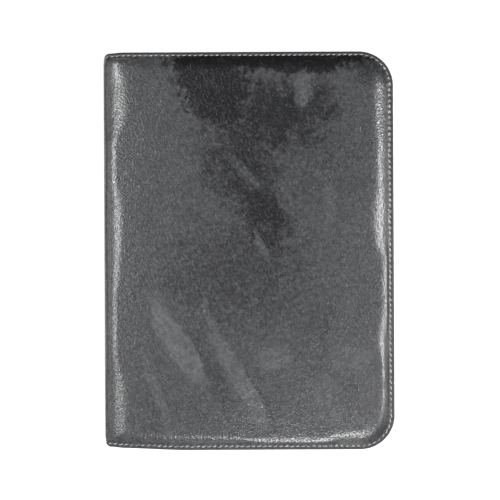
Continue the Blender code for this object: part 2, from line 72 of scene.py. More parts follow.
# Sizes shared with the solids
@dataclass(frozen=True)
class PortfolioSizes:
    """Driving sizes of the closed portfolio and the places that follow from them."""

    gap: float = 0.0003
    width: float = 0.236
    height: float = 0.324
    thickness: float = 0.026
    corner_radius: float = 0.028
    leather: float = 0.001
    foam: float = 0.0025
    board: float = 0.0024
    lining: float = 0.0006
    rim_width: float = 0.0043
    hem_thickness: float = 0.0006
    hem_width: float = 0.008
    lining_inset: float = 0.0012
    stitch_inset: float = 0.0029
    fold_reach: float = 0.0052
    spine_face_height: float = 0.013
    spine_board: float = 0.001
    spine_end_tuck: float = 0.0035
    cover_end_tuck: float = 0.0008
    tail_tuck: float = 0.0022
    tail_tuck_width: float = 0.065
    tuck_width: float = 0.01
    lining_fold: float = 0.0018

    @property
    def spine_x(self) -> float:
        """The spine's outer face."""
        return -self.width / 2

    @property
    def fold_x(self) -> float:
        """Where a cover ends and its hinge fold starts."""
        return self.spine_x + self.fold_reach

    @property
    def cover_length(self) -> float:
        """From the hinge fold to the free side."""
        return self.width / 2 - self.fold_x

    @property
    def half_height(self) -> float:
        """From the middle to the head or the tail."""
        return self.height / 2

    @property
    def edge_level(self) -> float:
        """The rim, outside the padding."""
        return self.foam + self.gap

    @property
    def board_level(self) -> float:
        """The board's outer face."""
        return self.edge_level + self.leather + self.gap

    @property
    def board_inner_level(self) -> float:
        """The board's inner face, flush with the turned leather."""
        return self.board_level + self.board

    @property
    def hem_level(self) -> float:
        """The side of the turned leather that lies on the board."""
        return self.board_inner_level - self.hem_thickness

    @property
    def lining_level(self) -> float:
        """The lining's glued face."""
        return self.board_inner_level + self.gap

    @property
    def lining_inner_level(self) -> float:
        """The lining's open face."""
        return self.lining_level + self.lining

    @property
    def spine_face_level(self) -> float:
        """Where the spine's flat face starts."""
        return (self.thickness - self.spine_face_height) / 2

    @property
    def middle_level(self) -> float:
        """Half way down the spine, where the two skins meet."""
        return self.thickness / 2

    @property
    def spine_lining_depth(self) -> float:
        """From the spine's outer face in to its lining."""
        return self.leather + self.gap + self.spine_board + self.gap


SIZES = PortfolioSizes()


class Side(enum.Enum):
    """Which cover a piece belongs to."""

    FRONT = "front"
    BACK = "back"

    @property
    def body(self) -> str:
        """The body that the cover's rigid pieces ride on."""
        return f"{self.value}_cover"

    @property
    def inner_up(self) -> float:
        """Which way along Z is off a sheet inside this cover."""
        return -1.0 if self is Side.FRONT else 1.0

    def height(self, level: Array) -> Array:
        """A height over the table: the back counts levels up, the front counts them down from the top."""
        return SIZES.thickness - level if self is Side.FRONT else level

    def points(self, x: Array, y: Array, level: Array) -> Array:
        """World points at a level; a value that all of them share may be a single one."""
        return np.stack(np.broadcast_arrays(x, y, self.height(level)), axis=-1)


# Helpers for arrays and meshes
def smooth(value: Array) -> Array:
    """A step from 0 to 1 with level ends: 3 t squared less 2 t cubed."""
    t = np.clip(value, 0, 1)
    return t * t * (3.0 - 2.0 * t)


def bell(distance: Array, width: float) -> Array:
    """A bell curve: e to the power of minus the squared share of the width."""
    return np.exp(-((distance / width) ** 2))


def unit(vectors: Array) -> Array:
    """Vectors of length one."""
    return vectors / np.maximum(np.linalg.norm(vectors, axis=-1, keepdims=True), 1e-12)


def through(places: Sequence[float], values: Sequence[float], at: Array) -> Array:
    """A soft curve through named points: each stretch between two of them eases in and out.

    Args:
        places: Rising positions of the points.
        values: The value at each.
        at: Positions to read.

    Returns:
        The values there.
    """
    x, y = np.array(places), np.array(values)
    k = np.clip(np.searchsorted(x, at) - 1, 0, len(x) - 2)
    return y[k] + (y[k + 1] - y[k]) * smooth((at - x[k]) / (x[k + 1] - x[k]))


def run_along(line: Array) -> Array:
    """The distance of each point of a line from its start."""
    return join([[0.0], np.cumsum(np.linalg.norm(np.diff(line, axis=0), axis=1))])


def tucked(x: Array, v: Array, fold_share: Array) -> Array:
    """Places across a cover after its ends are drawn in near the fold, over it and at the tail.

    The way across times 1 less the sum of the three tucks over half the height.

    Args:
        x: World places along X.
        v: The way across before the tuck, 0 in the middle.
        fold_share: How much of the tuck over the fold each place gets.

    Returns:
        World places along Y.
    """
    near = 1 - smooth((x - SIZES.fold_x) / SIZES.tuck_width)
    tail = np.where(v < 0, SIZES.tail_tuck * (1 - smooth((x - SIZES.fold_x) / SIZES.tail_tuck_width)), 0.0)
    over_fold = (SIZES.spine_end_tuck - SIZES.cover_end_tuck) * fold_share
    return v * (1 - (SIZES.cover_end_tuck * near + over_fold + tail) / SIZES.half_height)


class Shell:
    """Gathers grids of points and the faces between them, and makes one closed mesh object of them."""

    def __init__(self) -> None:
        self.points: list[Array] = []
        self.faces: list[list[int]] = []
        self.marks: dict[str, list[Array]] = {}
        self.count = 0

    def add(self, points: Array, **marks: Array) -> Array:
        """Adds a block of points.

        Args:
            points: An array whose last axis is x, y, z.
            marks: Values kept with each point, named for the attribute that they become.

        Returns:
            The points' numbers, in the block's own shape.
        """
        flat = np.asarray(points, float).reshape(-1, 3)
        numbers = np.arange(self.count, self.count + len(flat)).reshape(np.shape(points)[:-1])
        self.points.append(flat)
        for name, values in marks.items():
            kept = self.marks.setdefault(name, [np.zeros(self.count)] if self.count else [])
            kept.append(np.broadcast_to(values, numbers.shape).reshape(-1).astype(float))
        for name, kept in self.marks.items():
            if name not in marks:
                kept.append(np.zeros(len(flat)))
        self.count += len(flat)
        return numbers

    def tile(self, *corners: Array) -> None:
        """One face on each set of matching numbers."""
        self.faces += np.stack(corners, axis=-1).reshape(-1, len(corners)).tolist()

    def skin_over(self, grid: Array, closed_rows: bool = False) -> None:
        """Faces between a grid's rows and columns; closed_rows joins each row's end to its start."""
        if closed_rows:
            grid = join([grid, grid[:, :1]], axis=1)
        self.tile(grid[:-1, :-1], grid[:-1, 1:], grid[1:, 1:], grid[1:, :-1])

    def widen(self, coarse: Array, fine: Array) -> None:
        """Joins a coarse row to a row four times as fine: five triangles to each coarse step."""
        a, b = coarse[:-1], coarse[1:]
        f = [fine[k : len(fine) - 4 + k + 1 : 4][: len(a)] for k in range(5)]
        for corners in ((a, f[0], f[1]), (a, f[1], f[2]), (a, f[2], b), (b, f[2], f[3]), (b, f[3], f[4])):
            self.tile(*corners)

    def fill(self, points: Array, ring: Array) -> Array:
        """Fills a ring with a grid whose outer rows and last column are the ring itself.

        Args:
            points: The grid's points, of which only those off the ring are added.
            ring: The ring's numbers.

        Returns:
            The numbers of the grid's first column.
        """
        rows, columns = points.shape[:2]
        numbers = np.empty((rows, columns), int)
        numbers[1:-1, :-1] = self.add(points[1:-1, :-1])
        numbers[0] = ring[:columns]
        numbers[-1] = ring[::-1][:columns]
        numbers[:, -1] = ring[columns - 1 : columns - 1 + rows]
        self.skin_over(numbers)
        return numbers[:, 0]

    def polygon(self, numbers: Iterable[int]) -> None:
        """One face on a loop of numbers."""
        self.faces.append([int(n) for n in numbers])

    @staticmethod
    def rim(grid: Array) -> Array:
        """A grid's border as one loop."""
        return join([grid[0, :-1], grid[:-1, -1], grid[-1, :0:-1], grid[:0:-1, 0]])

    def slab(self, low: Array, high: Array, between: Sequence[tuple[float, float]]) -> None:
        """Closes two matching grids of points into a sheet.

        Args:
            low: One face's points.
            high: The other face's points.
            between: Rows round the edge, each a share of the way from low to high and a push outwards.
        """
        low_numbers, high_numbers = self.add(low), self.add(high)
        self.skin_over(low_numbers)
        self.skin_over(high_numbers)
        low_rim, high_rim = self.rim(low), self.rim(high)
        way = high_rim - low_rim
        along = np.roll(low_rim, -1, axis=0) - np.roll(low_rim, 1, axis=0)
        out = unit(np.cross(along, way))
        inward = low_rim - low.reshape(-1, 3).mean(axis=0)
        out = out * np.sign((out * inward).sum(axis=-1).mean())
        rows = [self.rim(low_numbers)]
        rows += [self.add(low_rim + way * share + out * push) for share, push in between]
        rows.append(self.rim(high_numbers))
        self.skin_over(np.stack(rows), closed_rows=True)

    def build(self, name: str, material: Material, sharp: float = 50.0) -> Piece:
        """Makes the object, with its faces turned outwards.

        Args:
            name: The piece's name.
            material: Its finish.
            sharp: Edges sharper than this many degrees stay crisp.

        Returns:
            The object, at the origin.
        """
        mesh = bpy.data.meshes.new(name)
        points = join(self.points)
        mesh.from_pydata(points.tolist(), [], self.faces)
        rest = mesh.attributes.new(REST_PLACE, "FLOAT_VECTOR", "POINT")
        rest.data.foreach_set("vector", points.astype(np.float32).reshape(-1))
        for attribute, values in self.marks.items():
            layer = mesh.attributes.new(attribute, "FLOAT", "POINT")
            layer.data.foreach_set("value", join(values).astype(np.float32))
        work = bmesh.new()
        work.from_mesh(mesh)
        bmesh.ops.recalc_face_normals(work, faces=work.faces)
        work.to_mesh(mesh)
        work.free()
        mesh.shade_smooth()
        mesh.set_sharp_from_angle(angle=math.radians(sharp))
        mesh.materials.append(material)
        piece = bpy.data.objects.new(name, mesh)
        bpy.context.scene.collection.objects.link(piece)
        return piece


def settle(piece: Piece, replaces: Sequence[str] = (), body: str = "") -> None:
    """Hides the solids that a piece stands for and, when a body is given, attaches it to that body."""
    if replaces:
        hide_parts(*replaces)
    if body:
        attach(piece, body)
    log.info("%s: %d faces", piece.name, len(piece.data.polygons))


def bend_with_spine(piece: Piece) -> None:
    """Bakes a piece's place into its points and leaves it on no body.
    """
    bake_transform(piece)


# Shape of a padded cover
@dataclass(frozen=True)
class Padding:
    """How the padding swells: how wide its shoulders and its roll to the spine are, and the crown's waves.

    edge_places run along the free sides, 0 in the middle of the one opposite the spine, positive to the head.
    """

    edge_places: Numbers
    edge_widths: Numbers
    roll_places: Numbers
    roll_widths: Numbers
    plump_places: Numbers = (-1.0, 1.0)
    plump_shares: Numbers = (0.0, 0.0)
    plump_slope: float = 0.0068
    plump_drop: float = 0.3
    plump_edge: float = 0.0018
    wave_height: float = 0.00016
    wave_length: float = 0.058
    wave_phase: float = 0.6
    swell_power: float = 2.2

    def crown_share(self, inside: Array, place: Array) -> Array:
        """The share of the crown's height at a distance inside the rim.

        The plain shoulder is 1 less (1 - t) to a power, t the share of its width. The plump one stands up at
        once and then slopes gently: 1 less a drop times (1 - t) to the power 1.5.
        """
        t = np.clip(inside / through(self.edge_places, self.edge_widths, place), 0, 1)
        plain = 1 - (1 - t) ** self.swell_power
        slope = np.clip(1 - inside / self.plump_slope, 0, 1) ** 1.5
        foot = 1 - smooth(inside / self.plump_edge)
        plump = 1 - self.plump_drop * slope - (1 - self.plump_drop) * foot
        share = through(self.plump_places, self.plump_shares, place)
        return plain * (1 - share) + plump * share

    def wave(self, x: Array, y: Array) -> Array:
        """The crown's waves: two crossed sines and a slower one."""
        k = 2 * math.pi / self.wave_length
        first = np.sin(k * (x + 0.35 * y) + self.wave_phase)
        second = np.sin(0.77 * k * (y - 0.28 * x) + 2.1 * self.wave_phase)
        third = np.sin(0.41 * k * (x - y))
        return self.wave_height * (1.0 + 0.5 * first * second + 0.5 * third)


FRONT_PADDING = Padding(
    edge_places=(
        -0.385, -0.3, -0.255, -0.215, -0.19, -0.165, -0.14, -0.122, -0.095, -0.07,
        -0.045, -0.012, 0.006, 0.03, 0.05, 0.088, 0.115, 0.16, 0.345, 0.368,
    ),
    edge_widths=(
        0.01, 0.009, 0.006, 0.006, 0.012, 0.013, 0.011, 0.0068, 0.0068, 0.011,
        0.011, 0.011, 0.015, 0.016, 0.0122, 0.0122, 0.015, 0.012, 0.011, 0.0045,
    ),
    plump_places=(-0.385, -0.275, -0.245, -0.205, -0.188, -0.075, -0.048, -0.008, 0.008, 0.385),
    plump_shares=(0.0, 0.0, 0.9, 0.9, 0.0, 0.0, 1.0, 1.0, 0.0, 0.0),
    roll_places=(
        -0.162, -0.148, -0.118, -0.082, -0.04, -0.015, 0.008,
        0.034, 0.06, 0.084, 0.114, 0.134, 0.158, 0.162,
    ),
    roll_widths=(
        0.011, 0.0146, 0.0146, 0.006, 0.006, 0.009, 0.0115,
        0.0115, 0.0058, 0.0058, 0.016, 0.016, 0.008, 0.008,
    ),
)
BACK_PADDING = Padding(
    edge_places=(-0.385, -0.3, -0.22, -0.13, -0.04, 0.05, 0.14, 0.23, 0.31, 0.385),
    edge_widths=(0.01, 0.011, 0.009, 0.012, 0.01, 0.0125, 0.0095, 0.011, 0.012, 0.01),
    roll_places=(-0.162, -0.09, -0.02, 0.06, 0.12, 0.162),
    roll_widths=(0.0095, 0.012, 0.0095, 0.0125, 0.01, 0.0105),
    wave_phase=1.9,
)


@dataclass(frozen=True)
class CoverForm:
    """The surface formula of one padded cover, from its free edges over the fold to the middle of the spine.

    A place on it is given by p, the way along a section from the middle of the spine, and v, across it.
    """

    side: Side
    padding: Padding
    roll_zone: float = 0.017
    roll_power: float = 1.9
    spine_run: float = 0.0068
    roll_run: float = 0.0216
    arc_run: float = 0.0076
    spine_rim_depth: float = 0.0006
    spine_rim_start: float = 0.002
    spine_rim_width: float = 0.005
    wave_start: float = 0.03
    steps_spine: int = 3
    steps_roll: int = 14
    steps_side: int = 90
    steps_half_corner: int = 7
    steps_half_free: int = 61
    fine: int = 4

    def flat_stations(self, fine: int) -> tuple[Array, Array, Array]:
        """Stations along half a ring, from the spine's middle at the head to the middle of the free side.

        Args:
            fine: How many fine steps make a coarse one.

        Returns:
            Each one's way p on the straight part, its corner angle, and its share of the free side.
        """
        start = self.spine_run + self.roll_run
        corner_p = start + SIZES.cover_length - SIZES.corner_radius - self.roll_zone
        spine = np.linspace(0, self.spine_run, self.steps_spine * fine + 1)
        roll = np.linspace(self.spine_run, start, self.steps_roll * fine + 1)[1:]
        side = np.linspace(start, corner_p, self.steps_side * fine + 1)[1:]
        straight = join([spine, roll, side])
        angles = np.linspace(0, QUARTER, 2 * self.steps_half_corner * fine + 1)[1:]
        free = np.linspace(0, 1, self.steps_half_free * fine + 1)[1:]
        p = join([straight, np.full(len(angles) + len(free), corner_p)])
        turn = join([np.zeros(len(straight)), angles, np.full(len(free), QUARTER)])
        along = join([np.zeros(len(straight) + len(angles)), free])
        return p, turn, along

    def ring(self, inset: float, fine: int) -> tuple[Array, Array, Array]:
        """A ring that keeps one inset from the three free sides.

        Args:
            inset: Its distance from the edge.
            fine: How many fine steps make a coarse one.

        Returns:
            p, v and the place along the free sides of each station, from the head end to the tail end.
        """
        p, turn, along = self.flat_stations(fine)
        radius = SIZES.corner_radius - inset
        reach = SIZES.half_height - SIZES.corner_radius
        v = np.where(along > 0, reach * (1 - along), reach + radius * np.cos(turn))
        mean = SIZES.corner_radius - SIZES.stitch_inset
        left = (p[-1] - p) + mean * (QUARTER - turn) + reach * (1 - along)
        halves = ((p + radius * np.sin(turn), 1.0), (v, -1.0), (left, -1.0))
        return tuple(join([half, way * half[-2::-1]]) for half, way in halves)

    def place(self, p: Array, v: Array, level: Array, crown: Array, depth: Array) -> Array:
        """Puts points of the flattened section in the world.

        Down the spine the section is straight. Over the fold it is a quarter of a superellipse that starts
        where the crown begins to fall. On the cover it is the crown plane less the level.

        Args:
            p: Way along the section from the middle of the spine.
            v: Way across it.
            level: Level on the cover.
            crown: Share of the crown, which sets how early the row starts to roll.
            depth: Depth under the spine's outer face, where the row ends up there.

        Returns:
            World points.
        """
        width = through(self.padding.roll_places, self.padding.roll_widths, v)
        power = 2.0 / self.roll_power
        line = self.roll_zone - width * crown
        arc = self.arc_run + 0.99 * width * crown
        f = np.clip((self.spine_run + self.roll_run - p) / self.roll_run, 0, 1)
        bend = line / (line + arc)
        theta = QUARTER * np.clip((f - bend) / (1 - bend), 0, 1)
        reach = SIZES.fold_reach + width * crown - depth
        rise = SIZES.spine_face_level - level
        sine = np.maximum(np.sin(theta), 0) ** power
        cosine = np.maximum(np.cos(theta), 0) ** power
        u_line = self.roll_zone - np.minimum(f / bend, 1.0) * line
        x_roll = np.where(theta > 0, SIZES.fold_x + width * crown - reach * sine, SIZES.fold_x + u_line)
        level_roll = np.where(theta > 0, SIZES.spine_face_level - rise * cosine, level)
        t = np.clip(p / self.spine_run, 0, 1)
        level_spine = SIZES.middle_level + (SIZES.spine_face_level - SIZES.middle_level) * t
        on_spine = p <= self.spine_run
        on_cover = p >= self.spine_run + self.roll_run
        x_cover = SIZES.fold_x + self.roll_zone + p - self.spine_run - self.roll_run
        x = np.where(on_spine, SIZES.spine_x + depth, np.where(on_cover, x_cover, x_roll))
        place_level = np.where(on_spine, level_spine, np.where(on_cover, level, level_roll))
        ratio = np.clip((SIZES.fold_x - x) / (SIZES.fold_reach - depth), 0, 1)
        ratio = np.where(on_spine, 1.0, ratio)
        y = tucked(x, v, 1 - np.sqrt(1 - ratio**2))
        return self.side.points(x, y, place_level)

    def crown_wave(self, p: Array, v: Array, crown: Array) -> Array:
        """Level added by the crown's waves, which die out on the shoulders and towards the fold."""
        u = p - self.spine_run - self.roll_run + self.roll_zone
        fade = smooth((u - self.roll_zone) / self.wave_start)
        return self.padding.wave(SIZES.fold_x + u, v) * crown**2 * fade

    def face(self, inset: float, fine: int, under: float = 0.0, pressed: float | Array = 0.0) -> Array:
        """World points of a ring on the outer face, or at a depth under it."""
        p, v, place = self.ring(inset, fine)
        crown = self.padding.crown_share(max(inset - SIZES.rim_width, 0.0), place)
        level = SIZES.edge_level * (1 - crown) + self.crown_wave(p, v, crown) + under
        rise = smooth((inset - self.spine_rim_start) / self.spine_rim_width)
        depth = self.spine_rim_depth * (1 - rise) + under
        return self.place(p, v, level + pressed, crown, depth + pressed)

    def wall(self, inset: float, level: float, depth: float, fine: int, pressed: float | Array = 0) -> Array:
        """World points of a ring on the turned edge, at one level on the cover and one depth on the spine."""
        p, v, _ = self.ring(inset, fine)
        zero = np.zeros_like(p)
        return self.place(p, v, zero + level + pressed, zero, zero + depth + pressed)

    def inner_grid(self, inset: float) -> tuple[Array, Array]:
        """A regular grid that fills the inside of a ring.

        Its columns follow the ring's head side and its rows the ring's free side: p is the column's, moved by
        what the free side's row adds near its end, and v is the column's scaled by the row's.
        """
        p, v, _ = self.ring(inset, 1)
        columns = self.steps_spine + self.steps_roll + self.steps_side + self.steps_half_corner
        rows = len(p) - 2 * columns
        p_head, v_head = p[: columns + 1], v[: columns + 1]
        p_free, v_free = p[columns : columns + rows], v[columns : columns + rows]
        weight = (p_head / p_head[-1]) ** 6
        grid_p = p_head[None, :] + weight[None, :] * (p_free - p_free[0])[:, None]
        grid_v = v_head[None, :] * (v_free / v_free[0])[:, None]
        return grid_p, grid_v

    def crown_face(self, inset: float, under: float = 0.0) -> Array:
        """World points of the crown inside a ring, or at a depth under it."""
        p, v = self.inner_grid(inset)
        one = np.ones_like(p)
        return self.place(p, v, self.crown_wave(p, v, one) + under, one, one * under)


# Leather skin, foam and stitches of a cover
@dataclass(frozen=True)
class SeamForm:
    """The stitched edge: where the needle holes fall and how far the thread draws the leather in."""

    pitch: float = 0.0045
    stitch_length: float = 0.0027
    thread_width: float = 0.00066
    thread_height: float = 0.00052
    slant: float = 0.00026
    valley: float = 0.00022
    valley_width: float = 0.00085
    hole: float = 0.00034
    hole_length: float = 0.00062
    hole_width: float = 0.0006
    pucker: float = 0.00006
    pucker_in: float = 0.0011
    pucker_out: float = 0.0012
    pucker_in_share: float = 0.7
    unevenness: float = 0.00014
    tip: float = 0.00012
    rings_per_stitch: int = 7
    points_per_ring: int = 7

    def hole_phase(self, distance: Array) -> Array:
        """How far each place is from the nearest gap between two stitches."""
        return np.abs((distance / self.pitch + 0.5) % 1 - 0.5) * self.pitch

    def pressed(self, inset: float, distance: Array) -> Array:
        """How far the leather is drawn in: a valley along the seam, pits at the gaps, puckers to the edge."""
        off = inset - SIZES.stitch_inset
        valley = self.valley * bell(off, self.valley_width)
        pit = self.hole * bell(self.hole_phase(distance), self.hole_length) * bell(off, self.hole_width)
        ripple = self.pucker * np.cos(2 * math.pi * distance / self.pitch)
        inner = bell(off - self.pucker_in, self.pucker_in) * self.pucker_in_share
        return valley + pit + ripple * (inner + bell(off + self.pucker_out, self.pucker_out))

    def sew(self, shell: Shell, line: Array, outward: Array, up: Array, first: float, last: float) -> None:
        """Adds a row of stitches: short tubes, oval across, that rise from one hole and sink to the next.

        Args:
            shell: The mesh to add to.
            line: Points along the seam.
            outward: Direction to the free edge at each.
            up: Direction off the surface at each.
            first: Distance along the seam of the first stitch.
            last: Distance beyond which there is none.
        """
        distance = run_along(line)
        number = np.arange(math.ceil(first / self.pitch), math.floor(last / self.pitch))
        t = np.linspace(-1, 1, self.rings_per_stitch)
        lengths = self.stitch_length / 2 * (1.0 + 0.08 * np.sin(number * 1.7))
        at = (number[:, None] + 0.5) * self.pitch + t[None, :] * lengths[:, None]
        place, out, lift = (
            np.stack([np.interp(at, distance, values[:, k]) for k in range(3)], axis=-1)
            for values in (line, outward, up)
        )
        out, lift = unit(out), unit(lift)
        wobble = self.unevenness * np.sin(number * 2.399)
        bow = np.clip(1 - t**4, 0, 1)
        height = self.thread_height * (0.1 + 0.5 * bow - 0.62 * t**8)
        centre = place + out * (self.slant * t[None, :] + wobble[:, None])[..., None]
        centre = centre + lift * height[None, :, None]
        angle = np.arange(self.points_per_ring) * 2 * math.pi / self.points_per_ring
        taper = np.sqrt(np.clip(1 - 0.72 * t**6, 0, 1))
        wide = self.thread_width / 2 * taper
        tall = self.thread_height / 2 * taper
        around = out[:, :, None, :] * (wide[None, :, None] * np.cos(angle))[..., None]
        around = around + lift[:, :, None, :] * (tall[None, :, None] * np.sin(angle))[..., None]
        numbers = shell.add(centre[:, :, None, :] + around)
        closed = join([numbers, numbers[:, :, :1]], axis=2)
        shell.tile(closed[:, :-1, :-1], closed[:, :-1, 1:], closed[:, 1:, 1:], closed[:, 1:, :-1])
        for end, next_in in ((0, 1), (-1, -2)):
            tip = shell.add(centre[:, end] + unit(centre[:, end] - centre[:, next_in]) * self.tip)
            ring = closed[:, end]
            shell.tile(np.repeat(tip[:, None], ring.shape[1] - 1, 1), ring[:, :-1], ring[:, 1:])


SEAM = SeamForm()
INNER_SEAM = SeamForm(thread_height=0.00028)
POCKET_SEAM = SeamForm(
    pitch=0.0034, stitch_length=0.0023, thread_width=0.0005, thread_height=0.00026, slant=0.00006,
    valley=0.00008, unevenness=0.00004, rings_per_stitch=5, points_per_ring=6,
)


def sew_flat(shell: Shell, side: Side, level: float, line: Array, beside: Array) -> None:
    """Adds small stitches along a line on a flat sheet inside a cover.

    Args:
        shell: The mesh to add to.
        side: The cover.
        level: The sheet's level.
        line: Places x, y along the seam.
        beside: The same line, nearer to the edge.
    """
    points = side.points(line[:, 0], line[:, 1], level - POCKET_SEAM.valley)
    up = np.broadcast_to((0.0, 0.0, side.inner_up), points.shape)
    outward = unit(join([beside - line, np.zeros((len(line), 1))], axis=1))
    POCKET_SEAM.sew(shell, points, outward, up, 0.0, run_along(line)[-1])


@dataclass
class CoverSkin:
    """One cover's leather: over the padding, turned over the board's edge, and on to the spine's middle."""

    form: CoverForm
    coarse_insets: Numbers = (0.02, 0.0182, 0.0165, 0.0148, 0.0132, 0.0117, 0.0103, 0.009, 0.0078)
    fine_insets: Numbers = (
        0.0067, 0.0059, 0.0052, 0.0046, 0.0041, 0.0037, 0.0033, 0.0029, 0.0025, 0.0021, 0.0017, 0.0014,
    )
    edge_radius: float = 0.0014
    turn_radius: float = 0.0008
    turn_end: float = 0.0016
    turn_width: float = 0.004
    under_insets: Numbers = (0.0043, 0.0059)
    # rim_start and rim_width set where the rim share rises towards the edge; the leather paints the rim
    # darker there as painted shade
    rim_start: float = 0.0034
    rim_width: float = 0.0012
    edge_ripple: float = 0.6
    spine_turn: float = 0.0005
    spine_hem: float = 0.0004
    arc_steps: int = 6

    @functools.cached_property
    def distance(self) -> Array:
        """The distance along the seam of each fine station."""
        return run_along(self.form.face(SIZES.stitch_inset, self.form.fine))

    def fine_rows(self) -> list[tuple[Array, float]]:
        """World points of the fine rows over the seam, round the edge and under it, with their rim share,
        which the leather paints darker as painted shade and makes rougher.
        """
        form, fine = self.form, self.form.fine
        rows = []
        for inset in self.fine_insets:
            pressed = SEAM.pressed(inset, self.distance)
            rim = float(smooth(np.array((self.rim_start - inset) / self.rim_width)))
            rows.append((form.face(inset, fine, pressed=pressed), rim))
        r, top = self.edge_radius, SIZES.edge_level
        for turn in np.linspace(0, QUARTER, self.arc_steps + 1)[1:]:
            inset, drop = r * (1 - math.sin(turn)), r * (1 - math.cos(turn))
            ripple = SEAM.pressed(inset, self.distance) * self.edge_ripple
            rows.append((form.wall(inset, top + drop, form.spine_rim_depth + drop, fine, ripple), 1.0))
        r, low = self.turn_radius, SIZES.board_inner_level
        spine_low = SIZES.spine_lining_depth
        for turn in np.linspace(0, QUARTER, self.arc_steps - 1):
            inset, drop = r * (1 - math.cos(turn)), r * (1 - math.sin(turn))
            rows.append((form.wall(inset, low - drop, spine_low - min(drop, self.spine_turn), fine), 1.0))
        rows.append((form.wall(self.turn_end, low, spine_low, fine), 1.0))
        return rows

    def hidden_rows(self) -> list[Array]:
        """World points of the coarse rows inside: the turned hem and the leather's underside."""
        form, leather = self.form, SIZES.leather
        low, hem = SIZES.board_inner_level, SIZES.hem_level
        spine_low = SIZES.spine_lining_depth
        thin = spine_low - self.spine_hem
        rows = [form.wall(self.turn_width, low, spine_low, 1), form.wall(SIZES.hem_width, low, spine_low, 1)]
        rows += [form.wall(SIZES.hem_width, hem, thin, 1), form.wall(leather, hem, thin, 1)]
        rows.append(form.wall(leather, SIZES.edge_level + leather, form.spine_rim_depth + leather, 1))
        insets = self.under_insets + self.coarse_insets[::-1]
        return rows + [form.face(inset, 1, leather) for inset in insets]

    def build(self, material: Material) -> None:
        """Builds the closed skin."""
        shell = Shell()
        form = self.form
        outer = [shell.add(form.face(inset, 1), rim=0.0) for inset in self.coarse_insets]
        fine = [shell.add(points, rim=rim) for points, rim in self.fine_rows()]
        hidden = [shell.add(points, rim=1.0) for points in self.hidden_rows()]
        shell.skin_over(np.stack(outer))
        shell.widen(outer[-1], fine[0])
        shell.skin_over(np.stack(fine))
        shell.widen(hidden[0], fine[-1])
        shell.skin_over(np.stack(hidden))
        top = shell.fill(form.crown_face(self.coarse_insets[0]), outer[0])
        under = shell.fill(form.crown_face(self.coarse_insets[0], SIZES.leather), hidden[-1])
        shell.tile(top[:-1], top[1:], under[1:], under[:-1])
        loops = outer + fine + hidden
        shell.polygon(row[0] for row in loops)
        shell.polygon(row[-1] for row in loops)
        side = form.side.value
        piece = shell.build(f"{side}_padded_skin", material, sharp=70.0)
        bend_with_spine(piece)
        nodes = [f"{side}_cover_leather", f"{side}_hinge_leather"]
        if form.side is Side.FRONT:
            nodes.append("spine_leather")
        settle(piece, nodes)


@dataclass
class CoverFoam:
    """The padding under one cover's leather: it tapers out at the rim and thins towards the fold."""

    form: CoverForm
    insets: Numbers = (0.02, 0.0165, 0.0138, 0.0118, 0.0102, 0.009, 0.0081)
    first_station: int = 11

    def on_board(self, points: Array) -> Array:
        """The same points, laid down on the board."""
        laid = points.copy()
        laid[..., 2] = self.form.side.height(SIZES.board_level - SIZES.gap)
        return laid

    def build(self, material: Material) -> None:
        """Builds the closed pad between the leather's underside and the board."""
        form, cut = self.form, self.first_station
        under = SIZES.leather + SIZES.gap
        faces = [form.face(inset, 1, under)[cut:-cut] for inset in self.insets]
        crown = form.crown_face(self.insets[0], under)[:, cut:]
        shell = Shell()
        rings = [shell.add(points) for points in faces]
        shell.skin_over(np.stack(rings))
        low_rings = [shell.add(self.on_board(points)) for points in faces]
        shell.skin_over(np.stack(low_rings))
        shell.skin_over(np.stack([rings[-1], low_rings[-1]]))
        lines = []
        for points, around in ((crown, rings), (self.on_board(crown), low_rings)):
            column = shell.fill(points, around[0])
            head, tail = [ring[0] for ring in around[::-1]], [ring[-1] for ring in around]
            lines.append(join([head, column[1:-1], tail]))
        shell.tile(lines[0][:-1], lines[0][1:], lines[1][1:], lines[1][:-1])
        side = form.side.value
        piece = shell.build(f"{side}_foam_pad", material)
        settle(piece, [f"{side}_foam_padding"], form.side.body)


@dataclass
class EdgeStitches:
    """Single slanted stitches round a cover's free sides, outside and in, and on to the ends of the spine."""

    skin: CoverSkin
    inside_start: float = 0.006
    end_margin: float = 0.004
    beside: float = 0.0006
    inner_sink: float = 0.5

    def build(self, material: Material) -> None:
        """Builds both rows of one cover as one piece."""
        form = self.skin.form
        fine = form.fine
        line = form.face(SIZES.stitch_inset, fine)
        outward = unit(line - form.face(SIZES.stitch_inset + self.beside, fine))
        along = unit(np.gradient(line, axis=0))
        up = unit(np.cross(along, outward))
        up = up * np.sign(up[len(up) // 2, 2]) * -form.side.inner_up
        shell = Shell()
        line = line - up * SEAM.valley
        SEAM.sew(shell, line, outward, up, self.end_margin, self.skin.distance[-1] - self.end_margin)
        inside = form.wall(SIZES.stitch_inset, SIZES.lining_inner_level, 0.0, fine)
        keep = inside[:, 0] > SIZES.fold_x + self.inside_start
        inside = inside[keep]
        inside_up = np.broadcast_to((0.0, 0.0, form.side.inner_up), inside.shape)
        inside = inside - inside_up * (SEAM.valley * self.inner_sink)
        INNER_SEAM.sew(shell, inside, outward[keep], inside_up, 0.0, run_along(inside)[-1])
        side = form.side.value
        piece = shell.build(f"{side}_edge_stitches", material)
        bend_with_spine(piece)
        settle(piece, [f"{side}_edge_stitching"])


